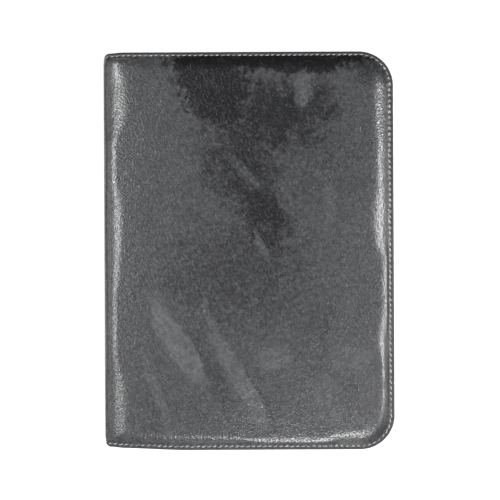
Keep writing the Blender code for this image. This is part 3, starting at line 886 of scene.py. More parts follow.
# Lining, pockets, pen loop and pad
@dataclass
class CoverLining:
    """The woven sheet inside one cover: glued to the board, and over the fold to the middle of the spine."""

    side: Side
    fold_reach: float = 0.0023
    fold_rise: float = 0.0021
    spine_x: float = SIZES.spine_x + SIZES.spine_lining_depth
    edge_offsets: Numbers = (0.0, 0.0004, 0.0009, 0.0015, 0.002, 0.0026, 0.0036, 0.006)
    seam_width: float = 0.0007
    seam_depth: float = 0.00018
    edge_bulge: float = 0.0001
    middle_columns: int = 60
    flat_steps: int = 60
    fold_steps: int = 10
    corner_steps: int = 14

    def stations(self, depth: float) -> tuple[Array, Array, Array, Array]:
        """Lines across the sheet: straight down the spine, a quarter ellipse over the fold, then level.

        Args:
            depth: The lines' depth in the sheet.

        Returns:
            Each line's x, level, share of the fold and half length.
        """
        centre_x = SIZES.fold_x - SIZES.gap
        centre_level = SIZES.lining_inner_level + SIZES.lining_fold - SIZES.gap
        turn = np.linspace(QUARTER, 0.0, self.fold_steps + 1)
        radius = SIZES.corner_radius - SIZES.lining_inset
        corner_x = SIZES.width / 2 - SIZES.corner_radius
        corner = np.linspace(0, QUARTER, self.corner_steps + 1)[1:]
        spine_level = np.linspace(SIZES.middle_level - SIZES.gap / 2, centre_level, 5)[:-1]
        spine_x = np.full(len(spine_level), self.spine_x + depth)
        fold_x = centre_x - (self.fold_reach - depth) * np.sin(turn)
        fold_level = centre_level - (self.fold_rise - depth) * np.cos(turn)
        flat_x = np.linspace(centre_x, corner_x, self.flat_steps + 1)[1:]
        x = join([spine_x, fold_x, flat_x, corner_x + radius * np.sin(corner)])
        flat_level = np.full(len(flat_x) + len(corner), SIZES.lining_level + depth)
        level = join([spine_level, fold_level, flat_level])
        share = join([np.ones(len(spine_level)), 1 - np.cos(turn), np.zeros(len(flat_level))])
        half = np.full(len(x), SIZES.half_height - SIZES.lining_inset)
        half[-self.corner_steps :] = SIZES.half_height - SIZES.corner_radius + radius * np.cos(corner)
        return x, level, share, half

    def grid(self, depth: float, pressed: float) -> Array:
        """World points of one face of the sheet, pressed in by a bell curve along the seam."""
        x, level, share, half = self.stations(depth)
        offsets = np.array(self.edge_offsets)
        low_side = -half[:, None] + offsets
        high_side = half[:, None] - offsets[::-1]
        inner = np.linspace(-1, 1, self.middle_columns)[1:-1] * (half[:, None] - offsets[-1])
        v = join([low_side, inner, high_side], axis=1)
        x = x[:, None]
        seam = bell(SIZES.half_height - np.abs(v) - SIZES.stitch_inset, self.seam_width)
        seam = np.maximum(seam, bell(SIZES.width / 2 - x - SIZES.stitch_inset, self.seam_width))
        levels = level[:, None] - pressed * seam * (x > SIZES.fold_x)
        return self.side.points(x, tucked(x, v, share[:, None]), levels)

    def build(self, material: Material) -> None:
        """Builds the sheet, and works out its cut size."""
        shell = Shell()
        shell.slab(self.grid(0.0, 0.0), self.grid(SIZES.lining, self.seam_depth), ((0.5, self.edge_bulge),))
        side = self.side.value
        piece = shell.build(f"{side}_lining_sheet", material)
        bend_with_spine(piece)
        nodes = [f"{side}_lining", f"{side}_hinge_lining"]
        if self.side is Side.FRONT:
            nodes.append("spine_lining")
        settle(piece, nodes)
        self.flat_size()

    def flat_size(self) -> tuple[float, float]:
        """The sheet's cut size: from head to tail, and from the middle of the spine to the free side."""
        x, level, _, _ = self.stations(SIZES.lining / 2)
        length = float(np.hypot(np.diff(x), np.diff(level)).sum())
        return 2 * (SIZES.half_height - SIZES.lining_inset), length


@dataclass(frozen=True)
class SewnSheet:
    """A thin sheet with a straight mouth on its +Y side and a round foot, sewn along its other three sides.

    Its open face has a turned hem along the mouth and a valley along the seam. Where raised is set, the sheet
    steps up over a slope inside a flat flange, to leave room for what it holds.
    """

    name: str
    slot: str
    side: Side
    centre_x: float
    mouth_y: float
    width: float
    depth: float
    corner: float
    level: float
    thickness: float = 0.0006
    seam_inset: float = 0.0018
    valley: float = 0.0001
    valley_width: float = 0.0005
    hem: float = 0.0
    hem_height: float = 0.00012
    hem_slope: float = 0.0004
    raised: float = 0.0
    flange: float = 0.0016
    slope: float = 0.0009
    swell: float = 0.0
    swell_margin: float = 0.02
    edge: float = 0.00016
    beside: float = 0.0005
    end_margin: float = 0.0024
    mouth_offsets: Numbers = (0.0005, 0.001, 0.002, 0.003)
    hem_offsets: Numbers = (-0.0003, 0.0, 0.0003, 0.0007)
    side_offsets: Numbers = (0.0, 0.0003, 0.0007, 0.0011, 0.0015, 0.0018, 0.0021, 0.0025, 0.003, 0.004)
    columns: int = 24
    rows: int = 40
    corner_steps: int = 16

    def places(self) -> tuple[Array, Array, Array]:
        """The grid's way u from the mouth, its way v across, and how far each point is from the sewn edge."""
        half, foot, corner = self.width / 2 - self.edge, self.depth - self.edge, self.corner
        mouth = np.array([self.edge, *self.mouth_offsets])
        if self.hem:
            mouth = join([mouth, self.hem + np.array(self.hem_offsets)])
        straight = np.linspace(mouth[-1], foot - corner, self.rows)[1:]
        turn = np.linspace(0, QUARTER, self.corner_steps + 1)[1:]
        u = join([mouth, straight, foot - corner + corner * np.sin(turn)])
        halves = np.full(len(u), half)
        halves[-len(turn) :] = half - corner + corner * np.cos(turn)
        offsets = np.array(self.side_offsets)
        inner = np.linspace(-1, 1, self.columns)[1:-1] * (halves[:, None] - offsets[-1])
        v = join([-halves[:, None] + offsets, inner, halves[:, None] - offsets[::-1]], axis=1)
        u_grid = np.broadcast_to(u[:, None], v.shape)
        over_u, over_v = u_grid - (foot - corner), np.abs(v) - (half - corner)
        in_corner = (over_u > 0) & (over_v > 0)
        straight_away = np.minimum(half - np.abs(v), foot - u_grid)
        return u_grid, v, np.where(in_corner, corner - np.hypot(over_u, over_v), straight_away)

    def faces(self) -> tuple[Array, Array]:
        """World points of the glued and the open face."""
        u, v, away = self.places()
        step = self.raised * smooth((away - self.flange) / self.slope)
        waves = 0.5 + 0.5 * np.sin(70.0 * u + 2.0) * np.cos(55.0 * v)
        swell = self.swell * smooth(away / self.swell_margin) * waves
        hem = self.hem_height * smooth((self.hem - u) / self.hem_slope) if self.hem else 0.0
        valley = self.valley * bell(away - self.seam_inset, self.valley_width)
        low = self.level + step + swell
        high = low + self.thickness + hem - valley
        x, y = self.centre_x + v, self.mouth_y - u
        return self.side.points(x, y, low), self.side.points(x, y, high)

    @property
    def open_level(self) -> float:
        """The level of the open face along the seam."""
        return self.level + self.thickness

    def border(self, inset: float, start: float) -> Array:
        """Places along the sewn sides at one inset, from one end of the mouth to the other."""
        half, foot = self.width / 2 - inset, self.depth - inset
        radius = max(self.corner - inset, 0.0003)
        turn = np.linspace(0, QUARTER, 13)
        bend_x, bend_u = radius * (1 - np.cos(turn)), radius * (1 - np.sin(turn))
        left = np.stack([bend_x - half, foot - bend_u], axis=-1)
        right = left[::-1] * (-1, 1)
        flat = join([[[-half, start]], left, right, [[half, start]]])
        return np.stack([self.centre_x + flat[:, 0], self.mouth_y - flat[:, 1]], axis=-1)

    def build(self, material: Material, body: str, nodes: Sequence[str], rests_on: str = "") -> None:
        """Builds the closed sheet on its body, and works out its cut size if it rests on another piece."""
        shell = Shell()
        shell.slab(*self.faces(), ((0.25, self.edge * 0.8), (0.5, self.edge), (0.75, self.edge * 0.8)))
        piece = shell.build(self.name, material)
        settle(piece, nodes, body)
        if rests_on:
            self.flat_size()

    def flat_size(self) -> tuple[float, float]:
        """The cut size: the slope takes up a little more than its level run, once along and twice across."""
        run = np.linspace(0, 1, 50)
        slope = np.hypot(np.diff(run * self.slope), np.diff(self.raised * smooth(run))).sum() - self.slope
        return self.width + 2 * float(slope), self.depth + float(slope)

    def sew_border(self, shell: Shell, start: float) -> None:
        """Adds stitches along the three sewn sides, from a distance below the mouth."""
        line = self.border(self.seam_inset, start)
        sew_flat(shell, self.side, self.open_level, line, self.border(self.seam_inset - self.beside, start))

    def sew_sides(self, shell: Shell, start: float, end: float) -> None:
        """Adds stitches along a stretch of both sides only."""
        for way in (-1.0, 1.0):
            x = self.centre_x + way * (self.width / 2 - self.seam_inset)
            line = np.array([[x, self.mouth_y - start], [x, self.mouth_y - end]])
            sew_flat(shell, self.side, self.open_level, line, line + (way * self.beside, 0.0))

    def sew_mouth(self, shell: Shell, off: float) -> None:
        """Adds stitches along the mouth, at a distance from it."""
        half, y = self.width / 2 - self.end_margin, self.mouth_y - off
        line = np.array([[self.centre_x - half, y], [self.centre_x + half, y]])
        sew_flat(shell, self.side, self.open_level + self.hem_height, line, line + (0.0, self.beside))


@dataclass(frozen=True)
class PocketSizes:
    """Where the pockets and the pad lie, and how big they are."""

    pad_width: float = 0.21
    pad_height: float = 0.297
    pad_backing: float = 0.001
    pad_sheets: float = 0.0045
    pad_corner: float = 0.0015
    leather: float = 0.0006
    tape: float = 0.0003
    tape_width: float = 0.018
    gutter: float = 0.0103
    slot_depth: float = 0.205
    slot_foot: float = 0.0031
    slot_corner: float = 0.006
    binding_width: float = 0.005
    document_depth: float = 0.246
    document_foot: float = 0.0105
    document_corner: float = 0.012
    card_width: float = 0.096
    card_height: float = 0.062
    card_step: float = 0.014
    card_corner: float = 0.004
    card_margin: float = 0.006
    below_mouth: float = 0.02
    window_width: float = 0.096
    window_height: float = 0.066
    window_border: float = 0.006
    window_corner: float = 0.004

    @property
    def centre_x(self) -> float:
        """The middle of the pad and of both large pockets."""
        return SIZES.fold_x + self.gutter + self.pad_width / 2

    @property
    def backing_level(self) -> float:
        """The underside of the pad's backing."""
        return SIZES.lining_inner_level + SIZES.gap

    @property
    def slot_level(self) -> float:
        """The underside of the slot's panel over the backing."""
        return self.backing_level + self.pad_backing + SIZES.gap

    @property
    def sheets_level(self) -> float:
        """The underside of the block of sheets."""
        return self.slot_level + self.leather + SIZES.gap

    @property
    def slot_mouth_y(self) -> float:
        """The slot's mouth."""
        return self.slot_depth - self.pad_height / 2

    @property
    def document_mouth_y(self) -> float:
        """The document pocket's mouth."""
        return self.document_depth + self.document_foot - SIZES.half_height

    @property
    def card_mouth_y(self) -> float:
        """The mouth of the card pocket that is furthest to the head, and the window frame's head edge."""
        return self.document_mouth_y - self.below_mouth


POCKETS = PocketSizes()


def rounded_loop(
    half_width: float, half_height: float, radius: float, corner_steps: int, side_steps: int
) -> Array:
    """Points round a rectangle with round corners, as many for any size, so that loops can be joined.

    Args:
        half_width: Half its size along the first axis.
        half_height: Half its size along the second axis.
        radius: Its corners' radius.
        corner_steps: Steps in each corner.
        side_steps: Steps in each side.

    Returns:
        Closed loop of points; the last isn't the first again.
    """
    loop = []
    for turn, sx, sy in ((0.0, 1, 1), (QUARTER, -1, 1), (2 * QUARTER, -1, -1), (3 * QUARTER, 1, -1)):
        angle = turn + np.linspace(0, QUARTER, corner_steps + 1)
        centre = np.array([sx * (half_width - radius), sy * (half_height - radius)])
        loop.append(centre + radius * np.stack([np.cos(angle), np.sin(angle)], axis=-1))
    points = []
    for k, corner in enumerate(loop):
        following = loop[(k + 1) % 4][0]
        share = np.linspace(0, 1, side_steps + 1)[1:-1, None]
        points.append(join([corner, corner[-1] + (following - corner[-1]) * share]))
    return join(points)


@dataclass(frozen=True)
class MouthBinding:
    """A strip folded over a pocket's mouth: flat, with rounded long edges and a line of stitches."""

    name: str
    node: str
    side: Side
    mouth_y: float
    level: float
    thickness: float
    half_width: float
    pinch: float = 0.3
    pinch_length: float = 0.0006
    wander: float = 0.00003
    stitch_off: float = 0.0009
    stitch_rise: float = 0.00012
    end_margin: float = 0.0024
    steps: int = 160

    def build(self, material: Material, threads: Shell) -> None:
        """Builds the strip, and adds its stitches to the threads."""
        section = rounded_loop(POCKETS.binding_width / 2, self.thickness / 2, self.thickness * 0.45, 4, 6)
        centre_y = self.mouth_y + SIZES.gap + POCKETS.binding_width / 2
        x = POCKETS.centre_x + np.linspace(-self.half_width, self.half_width, self.steps)
        ends = np.minimum(x - x[0], x[-1] - x)
        pinch = 1 - self.pinch * bell(ends, self.pinch_length)
        wander = self.wander * np.sin(x * 61.0)
        y = centre_y + section[None, :, 0] * pinch[:, None] ** 0.3 + wander[:, None]
        level = self.level + self.thickness / 2 + section[None, :, 1] * pinch[:, None]
        shell = Shell()
        numbers = shell.add(self.side.points(x[:, None], y, level))
        shell.skin_over(numbers, closed_rows=True)
        shell.polygon(numbers[0])
        shell.polygon(numbers[-1])
        half, seam_y = self.half_width - self.end_margin, centre_y - self.stitch_off
        line = np.array([[POCKETS.centre_x - half, seam_y], [POCKETS.centre_x + half, seam_y]])
        top = self.level + self.thickness + self.stitch_rise
        sew_flat(threads, self.side, top, line, line + (0.0, self.stitch_off))
        settle(shell.build(self.name, material), [self.node], self.side.body)


@dataclass(frozen=True)
class IdWindow:
    """A clear pane behind a stitched leather frame, beside the card pockets."""

    frame_thickness: float = 0.0008
    pane: float = 0.0003
    overlap: float = 0.003
    wave: float = 0.00008
    seam_inset: float = 0.002
    valley: float = 0.0001
    valley_reach: float = 0.0004
    beside: float = 0.0005
    edge: float = 0.0002

    @property
    def centre(self) -> tuple[float, float]:
        """The middle of the frame."""
        x = POCKETS.centre_x + POCKETS.pad_width / 2 - POCKETS.card_margin - POCKETS.window_width / 2
        return x, POCKETS.card_mouth_y - POCKETS.window_height / 2

    @property
    def pane_level(self) -> float:
        """The pane's face towards the cover."""
        return SIZES.lining_inner_level + POCKETS.leather + 2 * SIZES.gap

    def build_pane(self, material: Material) -> None:
        """Builds the pane: a thin sheet, a little wavy."""
        half_x = POCKETS.window_width / 2 - POCKETS.window_border + self.overlap
        half_y = POCKETS.window_height / 2 - POCKETS.window_border + self.overlap
        x, y = np.meshgrid(np.linspace(-half_x, half_x, 40), np.linspace(-half_y, half_y, 28), indexing="ij")
        fade = (1 - (x / half_x) ** 2) * (1 - (y / half_y) ** 2)
        cx, cy = self.centre
        level = self.pane_level + self.wave * np.sin(90.0 * x + 0.8) * np.sin(75.0 * y) * fade
        near, far = (Side.FRONT.points(cx + x, cy + y, level + depth) for depth in (0.0, self.pane))
        shell = Shell()
        shell.slab(near, far, ())
        settle(shell.build("id_window_pane", material), ["id_window"], Side.FRONT.body)

    def build_frame(self, material: Material, threads: Shell) -> None:
        """Builds the frame with softened edges, and adds its stitches to the threads."""
        cx, cy = self.centre
        low = self.pane_level + self.pane + SIZES.gap
        high = low + self.frame_thickness
        half_x, half_y = POCKETS.window_width / 2, POCKETS.window_height / 2
        r, edge = POCKETS.window_corner, self.edge
        border, step = POCKETS.window_border, self.frame_thickness / 4
        seam, reach = self.seam_inset, self.valley_reach
        profile = (
            (0.0, low + step), (0.0, high - step), (edge, high), (seam - reach, high),
            (seam, high - self.valley), (seam + reach, high), (border - 3 * edge, high),
            (border - edge, high - edge / 2), (border, high - step), (border, low + step),
            (border - edge, low), (edge, low),
        )
        shell = Shell()
        rows = []
        for inset, level in profile:
            loop = rounded_loop(half_x - inset, half_y - inset, r - inset * r / (2 * border), 8, 30)
            rows.append(shell.add(Side.FRONT.points(cx + loop[:, 0], cy + loop[:, 1], level)))
        shell.skin_over(np.stack(rows + rows[:1]), closed_rows=True)
        seams = []
        for inset, radius in ((self.seam_inset, r - 0.0007), (self.seam_inset - self.beside, r - 0.0005)):
            loop = rounded_loop(half_x - inset, half_y - inset, radius, 8, 30)
            seams.append(join([loop, loop[:1]]) + (cx, cy))
        sew_flat(threads, Side.FRONT, high, seams[0], seams[1])
        piece = shell.build("id_window_leather_frame", material)
        settle(piece, ["id_window_frame"], Side.FRONT.body)


@dataclass(frozen=True)
class PenLoop:
    """A ribbed elastic band in a flattened loop along the gutter, sewn to the spine's lining."""

    width: float = 0.0106
    height: float = 0.0104
    band: float = 0.0008
    corner: float = 0.0045
    start: float = 0.015
    end: float = 0.045
    rib_pitch: float = 0.00125
    rib_height: float = 0.00016
    rounding: float = 0.00022
    seam_half_gap: float = 0.0018
    seam_margin: float = 0.002
    seam_rise: float = 0.00002
    stations: int = 193

    def build(self, material: Material, threads: Shell) -> None:
        """Builds the band as a closed tube wall with ribs round it, and adds two short seams inside."""
        centre_x = SIZES.spine_x + SIZES.spine_lining_depth + SIZES.lining + SIZES.gap + self.width / 2
        centre_z = SIZES.middle_level
        y = np.linspace(self.start, self.end, self.stations)
        ends = np.minimum(y - self.start, self.end - y)
        rib = self.rib_height * (0.5 - 0.5 * np.cos(2 * math.pi * (y - self.start) / self.rib_pitch))
        edge = self.rounding * bell(ends, self.rounding)
        rows = []
        for depth, way in ((0.0, 1.0), (self.band, -1.0)):
            inset = depth + way * (self.rib_height - rib + edge)
            half_x, half_z = self.width / 2, self.height / 2
            loop = np.stack([rounded_loop(half_x - i, half_z - i, self.corner - i, 12, 5) for i in inset])
            points = Side.BACK.points(centre_x + loop[..., 0], y[:, None], centre_z + loop[..., 1])
            rows.append(points if way > 0 else points[::-1])
        shell = Shell()
        numbers = shell.add(join(rows))
        shell.skin_over(join([numbers, numbers[:1]]), closed_rows=True)
        x = centre_x - self.width / 2 + self.band + self.seam_rise
        first_y, last_y = self.start + self.seam_margin, self.end - self.seam_margin
        for way in (-1.0, 1.0):
            z = centre_z + way * self.seam_half_gap
            line = np.array([[x, first_y, z], [x, last_y, z]])
            outward, up = np.array([[0.0, 0.0, way]] * 2), np.array([[1.0, 0.0, 0.0]] * 2)
            POCKET_SEAM.sew(threads, line, outward, up, 0.0, last_y - first_y)
        settle(shell.build("ribbed_pen_loop", material, sharp=80.0), ["pen_loop"], "spine")


@dataclass(frozen=True)
class WritingPad:
    """A pad of sheets on a card backing, bound with tape over its head."""

    leaf_rows: int = 16
    leaf_jitter: float = 0.00009
    wave: float = 0.00006
    bend: float = 0.0005

    def leaf(self, name: str, slot: str, level: float, thickness: float) -> SewnSheet:
        """The flat form shared by the backing and the block of sheets."""
        return SewnSheet(
            name, slot, Side.BACK, POCKETS.centre_x, POCKETS.pad_height / 2, POCKETS.pad_width,
            POCKETS.pad_height, POCKETS.pad_corner, level, thickness, valley=0.0, edge=self.leaf_jitter,
            side_offsets=(0.0, 0.0004, 0.002), columns=30, rows=44, corner_steps=6,
        )

    def build_backing(self, material: Material) -> None:
        """Builds the card."""
        card = self.leaf("pad_card_backing", "pad_card", POCKETS.backing_level, POCKETS.pad_backing)
        card.build(material, "writing_pad", ["pad_backing"])

    def build_sheets(self, material: Material) -> None:
        """Builds the block of sheets, with the sheets' uneven edges on its sides and a slightly wavy top."""
        block = self.leaf("pad_paper_block", "white_paper", POCKETS.sheets_level, POCKETS.pad_sheets)
        glued, opened = block.faces()
        x, y = opened[..., 0], opened[..., 1]
        opened[..., 2] += self.wave * (np.sin(45.0 * x + 1.0) * np.sin(31.0 * y) - 1.0)
        share = np.linspace(0, 1, self.leaf_rows + 2)[1:-1]
        push = self.leaf_jitter * (0.5 + 0.5 * np.sin(np.arange(self.leaf_rows) * 2.4))
        shell = Shell()
        shell.slab(glued, opened, tuple(zip(share.tolist(), push.tolist())))
        settle(shell.build(block.name, material, sharp=40.0), ["pad_sheets"], "writing_pad")

    def build_tape(self, material: Material) -> None:
        """Builds the tape: over the sheets' head edge and down to the backing, with a soft bend."""
        half, head = POCKETS.pad_width / 2, POCKETS.pad_height / 2
        bend_y = head + SIZES.gap - self.bend
        top = POCKETS.sheets_level + POCKETS.pad_sheets + SIZES.gap
        turn = np.linspace(0, QUARTER, 9)
        flat_y = np.linspace(head - POCKETS.tape_width, bend_y, 14)[:-1]
        low_z = np.linspace(top - self.bend, POCKETS.backing_level, 9)[1:]
        x = POCKETS.centre_x + np.linspace(-half, half, 90)
        grids = []
        for depth in (0.0, POCKETS.tape):
            radius = self.bend + depth
            end_y = np.full(len(low_z), head + SIZES.gap + depth)
            y = join([flat_y, bend_y + radius * np.sin(turn), end_y])
            flat_z = np.full(len(flat_y), top + depth)
            z = join([flat_z, top - self.bend + radius * np.cos(turn), low_z])
            grids.append(Side.BACK.points(x[:, None], y, z))
        shell = Shell()
        shell.slab(*grids, ())
        piece = shell.build("pad_cloth_tape", material, sharp=60.0)
        settle(piece, ["pad_binding_tape"], "writing_pad")


@dataclass
class Inside:
    """Everything between the covers, built body by body."""

    leather: Material
    binding: Material
    thread: Material
    slot: str = "black_pocket_leather"
    seam_start: float = 0.0006
    card_seam_start: float = 0.005
    hem_seam: float = 0.0034

    def threads_piece(self, shell: Shell, name: str, body: str) -> None:
        """Makes a body's inner stitches one piece."""
        settle(shell.build(name, self.thread), (), body)

    def build_back(self) -> None:
        """Builds the slot that holds the pad, and its bound mouth."""
        threads, side, foot = Shell(), Side.BACK, POCKETS.slot_foot
        panel = SewnSheet(
            "pad_slot_leather", self.slot, side, POCKETS.centre_x, POCKETS.slot_mouth_y,
            width=POCKETS.pad_width + 2 * foot, depth=POCKETS.slot_depth + foot, corner=POCKETS.slot_corner,
            level=POCKETS.backing_level, raised=POCKETS.slot_level - POCKETS.backing_level,
            seam_inset=0.0009, slope=0.0008, side_offsets=(
                0.0, 0.0002, 0.0005, 0.0008, 0.0011, 0.0014, 0.0016, 0.0018, 0.0020, 0.0022, 0.0024, 0.004,
            ),
        )
        panel.build(self.leather, side.body, ["pad_slot_panel"], "back_lining_sheet")
        panel.sew_border(threads, self.seam_start)
        strip = MouthBinding(
            "pad_slot_bound_edge", "pad_slot_binding", side, POCKETS.slot_mouth_y, POCKETS.slot_level,
            thickness=0.0006, half_width=POCKETS.pad_width / 2 + 0.0007,
        )
        strip.build(self.binding, threads)
        self.threads_piece(threads, "back_pocket_stitches", side.body)

    def build_front(self, clear: Material) -> None:
        """Builds the document pocket, the card pockets on it and the identity window."""
        threads, side = Shell(), Side.FRONT
        level = SIZES.lining_inner_level + SIZES.gap
        large = SewnSheet(
            "document_pocket_leather", self.slot, side, POCKETS.centre_x, POCKETS.document_mouth_y,
            width=POCKETS.pad_width, depth=POCKETS.document_depth, corner=POCKETS.document_corner,
            level=level, swell=0.0001, rows=60, columns=50,
        )
        large.build(self.leather, side.body, ["document_pocket"], "front_lining_sheet")
        large.sew_border(threads, self.seam_start)
        strip = MouthBinding(
            "document_pocket_bound_edge", "document_pocket_binding", side, POCKETS.document_mouth_y, level,
            thickness=0.0008, half_width=POCKETS.pad_width / 2,
        )
        strip.build(self.binding, threads)
        self.build_cards(threads, large, level)
        window = IdWindow()
        window.build_pane(clear)
        window.build_frame(self.leather, threads)
        self.threads_piece(threads, "front_pocket_stitches", side.body)

    def build_cards(self, threads: Shell, under: SewnSheet, level: float) -> None:
        """Builds the three stepped card pockets, each on the one before and the first on the sheet under."""
        x = POCKETS.centre_x - POCKETS.pad_width / 2 + POCKETS.card_margin + POCKETS.card_width / 2
        step = POCKETS.leather + SIZES.gap
        for i, name in enumerate(("upper", "middle", "lower")):
            drop = i * POCKETS.card_step
            card = SewnSheet(
                f"card_pocket_{name}_leather", self.slot, under.side, x, POCKETS.card_mouth_y - drop,
                width=POCKETS.card_width, depth=POCKETS.card_height - drop, corner=POCKETS.card_corner,
                level=level + (i + 1) * step, hem=0.0042, swell=0.00006,
            )
            card.build(self.leather, card.side.body, [f"card_pocket_{name}"], under.name)
            card.sew_mouth(threads, self.hem_seam)
            if name == "lower":
                card.sew_border(threads, self.card_seam_start)
            else:
                card.sew_sides(threads, self.card_seam_start, POCKETS.card_step - 0.0004)
            under = card


def dress(node: str, material: Material) -> None:
    """Gives a solid that keeps its own shape a procedural finish."""
    solid = bpy.data.objects[node]
    for slot in solid.material_slots:
        slot.material = material
    log.info("%s: dressed", node)


# Finishes
class Weave:
    """Builds one material's node graph: each method adds a node and returns its output.

    A finish that bends reads the place that each point had at rest, so that its pattern moves along.
    """

    def __init__(self, name: str, bends: bool = False) -> None:
        self.material = bpy.data.materials.new(name)
        self.material.use_nodes = True
        self.tree = self.material.node_tree
        self.shader = self.tree.nodes["Principled BSDF"]
        self.place = self.mark(REST_PLACE, "Vector") if bends else self.node("TexCoord", {}).outputs["Object"]

    def put(self, socket: Socket, value: object) -> None:
        """Links a node's output to a socket, or sets the socket's own value; None leaves it as it is."""
        if isinstance(value, Socket):
            self.tree.links.new(value, socket)
        elif value is not None:
            socket.default_value = (*value, 1.0) if socket.type == "RGBA" else value

    def node(self, kind: str, inputs: dict[str | int, object], **settings: object) -> bpy.types.Node:
        """Adds a shader node: inputs are values or other nodes' outputs, settings are its own properties."""
        made = self.tree.nodes.new(f"ShaderNode{kind}")
        for key, value in settings.items():
            setattr(made, key, value)
        for socket, value in inputs.items():
            self.put(made.inputs[socket], value)
        return made

    def moved(
        self, place: Socket, at: Triple = (0, 0, 0), turn: float = 0.0, size: Triple = (1, 1, 1)
    ) -> Socket:
        """Places measured from a point, turned, in units of a size."""
        inputs = {"Vector": place, "Location": at, "Rotation": (0, 0, turn), "Scale": size}
        return self.node("Mapping", inputs, vector_type="TEXTURE").outputs[0]

    def noise(self, place: Socket, scale: float, detail: float = 3.0, rough: float = 0.55) -> Socket:
        """Cloudy values round one half."""
        inputs = {"Vector": place, "Scale": scale, "Detail": detail, "Roughness": rough}
        return self.node("TexNoise", inputs).outputs["Fac"]

    def shaken(self, place: Socket, scale: float, amount: float, detail: float = 2.0) -> Socket:
        """Places pushed about by a coloured noise, up to half the amount each way."""
        inputs = {"Vector": place, "Scale": scale, "Detail": detail, "Roughness": 0.6}
        colour = self.node("TexNoise", inputs).outputs["Color"]
        centred = self.node("VectorMath", {0: colour, 1: (0.5, 0.5, 0.5)}, operation="SUBTRACT")
        pushed = self.shade(centred.outputs[0], amount)
        return self.node("VectorMath", {0: place, 1: pushed}, operation="ADD").outputs[0]

    def cells(self, place: Socket, scale: float, feature: str = "F1") -> Socket:
        """Distances in a field of cells."""
        inputs = {"Vector": place, "Scale": scale}
        return self.node("TexVoronoi", inputs, feature=feature).outputs["Distance"]

    def bands(self, place: Socket, pitch: float, direction: str, distortion: float = 0.0) -> Socket:
        """Even bands of a pitch along one direction; the node's own pitch is a twentieth of a full turn."""
        scale = 2.0 * math.pi / (pitch * 20.0)
        inputs = {"Vector": place, "Scale": scale, "Distortion": distortion, "Detail": 1.0}
        return self.node("TexWave", inputs, bands_direction=direction).outputs["Fac"]

    def math(self, operation: str, a: object, b: object = 0.0) -> Socket:
        """Arithmetic on two values."""
        return self.node("Math", {0: a, 1: b}, operation=operation).outputs[0]

    def times(self, *values: object) -> Socket:
        """The product of two or more values."""
        return functools.reduce(lambda a, b: self.math("MULTIPLY", a, b), values)

    def plus(self, *values: object) -> Socket:
        """The sum of two or more values."""
        return functools.reduce(lambda a, b: self.math("ADD", a, b), values)

    def less(self, value: object, taken: object) -> Socket:
        """One value less another."""
        return self.math("SUBTRACT", value, taken)

    def dimmed(self, share: object, most: float) -> Socket:
        """A factor of 1 where the share is 0, and of 1 less the most where it is 1."""
        return self.less(1.0, self.times(share, most))

    def step(self, value: object, low: float, high: float, to_low: float = 0, to_high: float = 1) -> Socket:
        """A soft step between two values."""
        inputs = {"Value": value, 1: low, 2: high, 3: to_low, 4: to_high}
        return self.node("MapRange", inputs, interpolation_type="SMOOTHSTEP").outputs[0]

    def mix(self, share: object, first: object, second: object) -> Socket:
        """A colour between two."""
        return self.node("Mix", {0: share, 6: first, 7: second}, data_type="RGBA").outputs[2]

    def shade(self, colour: object, factor: object) -> Socket:
        """A colour made lighter or darker by a factor."""
        return self.node("VectorMath", {0: colour, "Scale": factor}, operation="SCALE").outputs[0]

    def mark(self, name: str, output: str = "Fac") -> Socket:
        """A value kept with the piece's own points."""
        return self.node("Attribute", {}, attribute_name=name, attribute_type="GEOMETRY").outputs[output]

    def axis(self, name: str) -> Socket:
        """One coordinate of the place."""
        return self.node("SeparateXYZ", {0: self.place}).outputs[name]

    def relief(self, height: Socket, depth: float, strength: float, under: object = None) -> Socket:
        """Turns a height from 0 to 1 into a surface relief of a depth in metres."""
        inputs = {"Height": height, "Distance": depth, "Strength": strength, "Normal": under}
        return self.node("Bump", inputs).outputs[0]

    def finish(self, colour: object, rough: object, normal: object = None, **more: object) -> Material:
        """Connects the shader.

        Args:
            colour: The base colour.
            rough: The roughness.
            normal: The relief, if there is any.
            more: Other inputs by name, with _ for a space.

        Returns:
            The material.
        """
        for key, value in {"Base Color": colour, "Roughness": rough, "Normal": normal, **more}.items():
            self.put(self.shader.inputs[key.replace("_", " ")], value)
        return self.material


@dataclass(frozen=True)
class Patch:
    """One patch in the colour: its middle, half sizes, turn in degrees, weight, and how far its core reaches.
    """

    x: float
    y: float
    half_width: float
    half_height: float
    turn: float
    weight: float
    core: float = 0.75


DARK_PATCHES = (
    Patch(-0.031, 0.143, 0.031, 0.052, 29, 1.00, 0.72),
    Patch(0.030, 0.156, 0.088, 0.013, 0, 1.00, 0.60),
    Patch(0.026, 0.110, 0.056, 0.040, 8, 0.92, 0.30),
    Patch(-0.004, 0.068, 0.036, 0.064, 28, 0.94, 0.14),
    Patch(0.010, 0.034, 0.026, 0.050, 22, 1.00, 0.22),
    Patch(-0.006, -0.016, 0.072, 0.056, 10, 0.57, 0.20),
    Patch(-0.046, -0.036, 0.034, 0.014, -32, 0.42, 0.55),
    Patch(-0.034, -0.096, 0.008, 0.046, 27, 0.42, 0.50),
    Patch(-0.075, -0.130, 0.018, 0.022, 20, 0.30, 0.30),
    Patch(0.011, -0.128, 0.008, 0.032, 26, 0.40, 0.50),
    Patch(0.058, -0.062, 0.018, 0.024, -20, 0.26, 0.30),
    Patch(0.096, 0.146, 0.026, 0.014, -30, 0.62, 0.30),
    Patch(0.064, 0.078, 0.040, 0.050, 0, 0.30, 0.20),
)
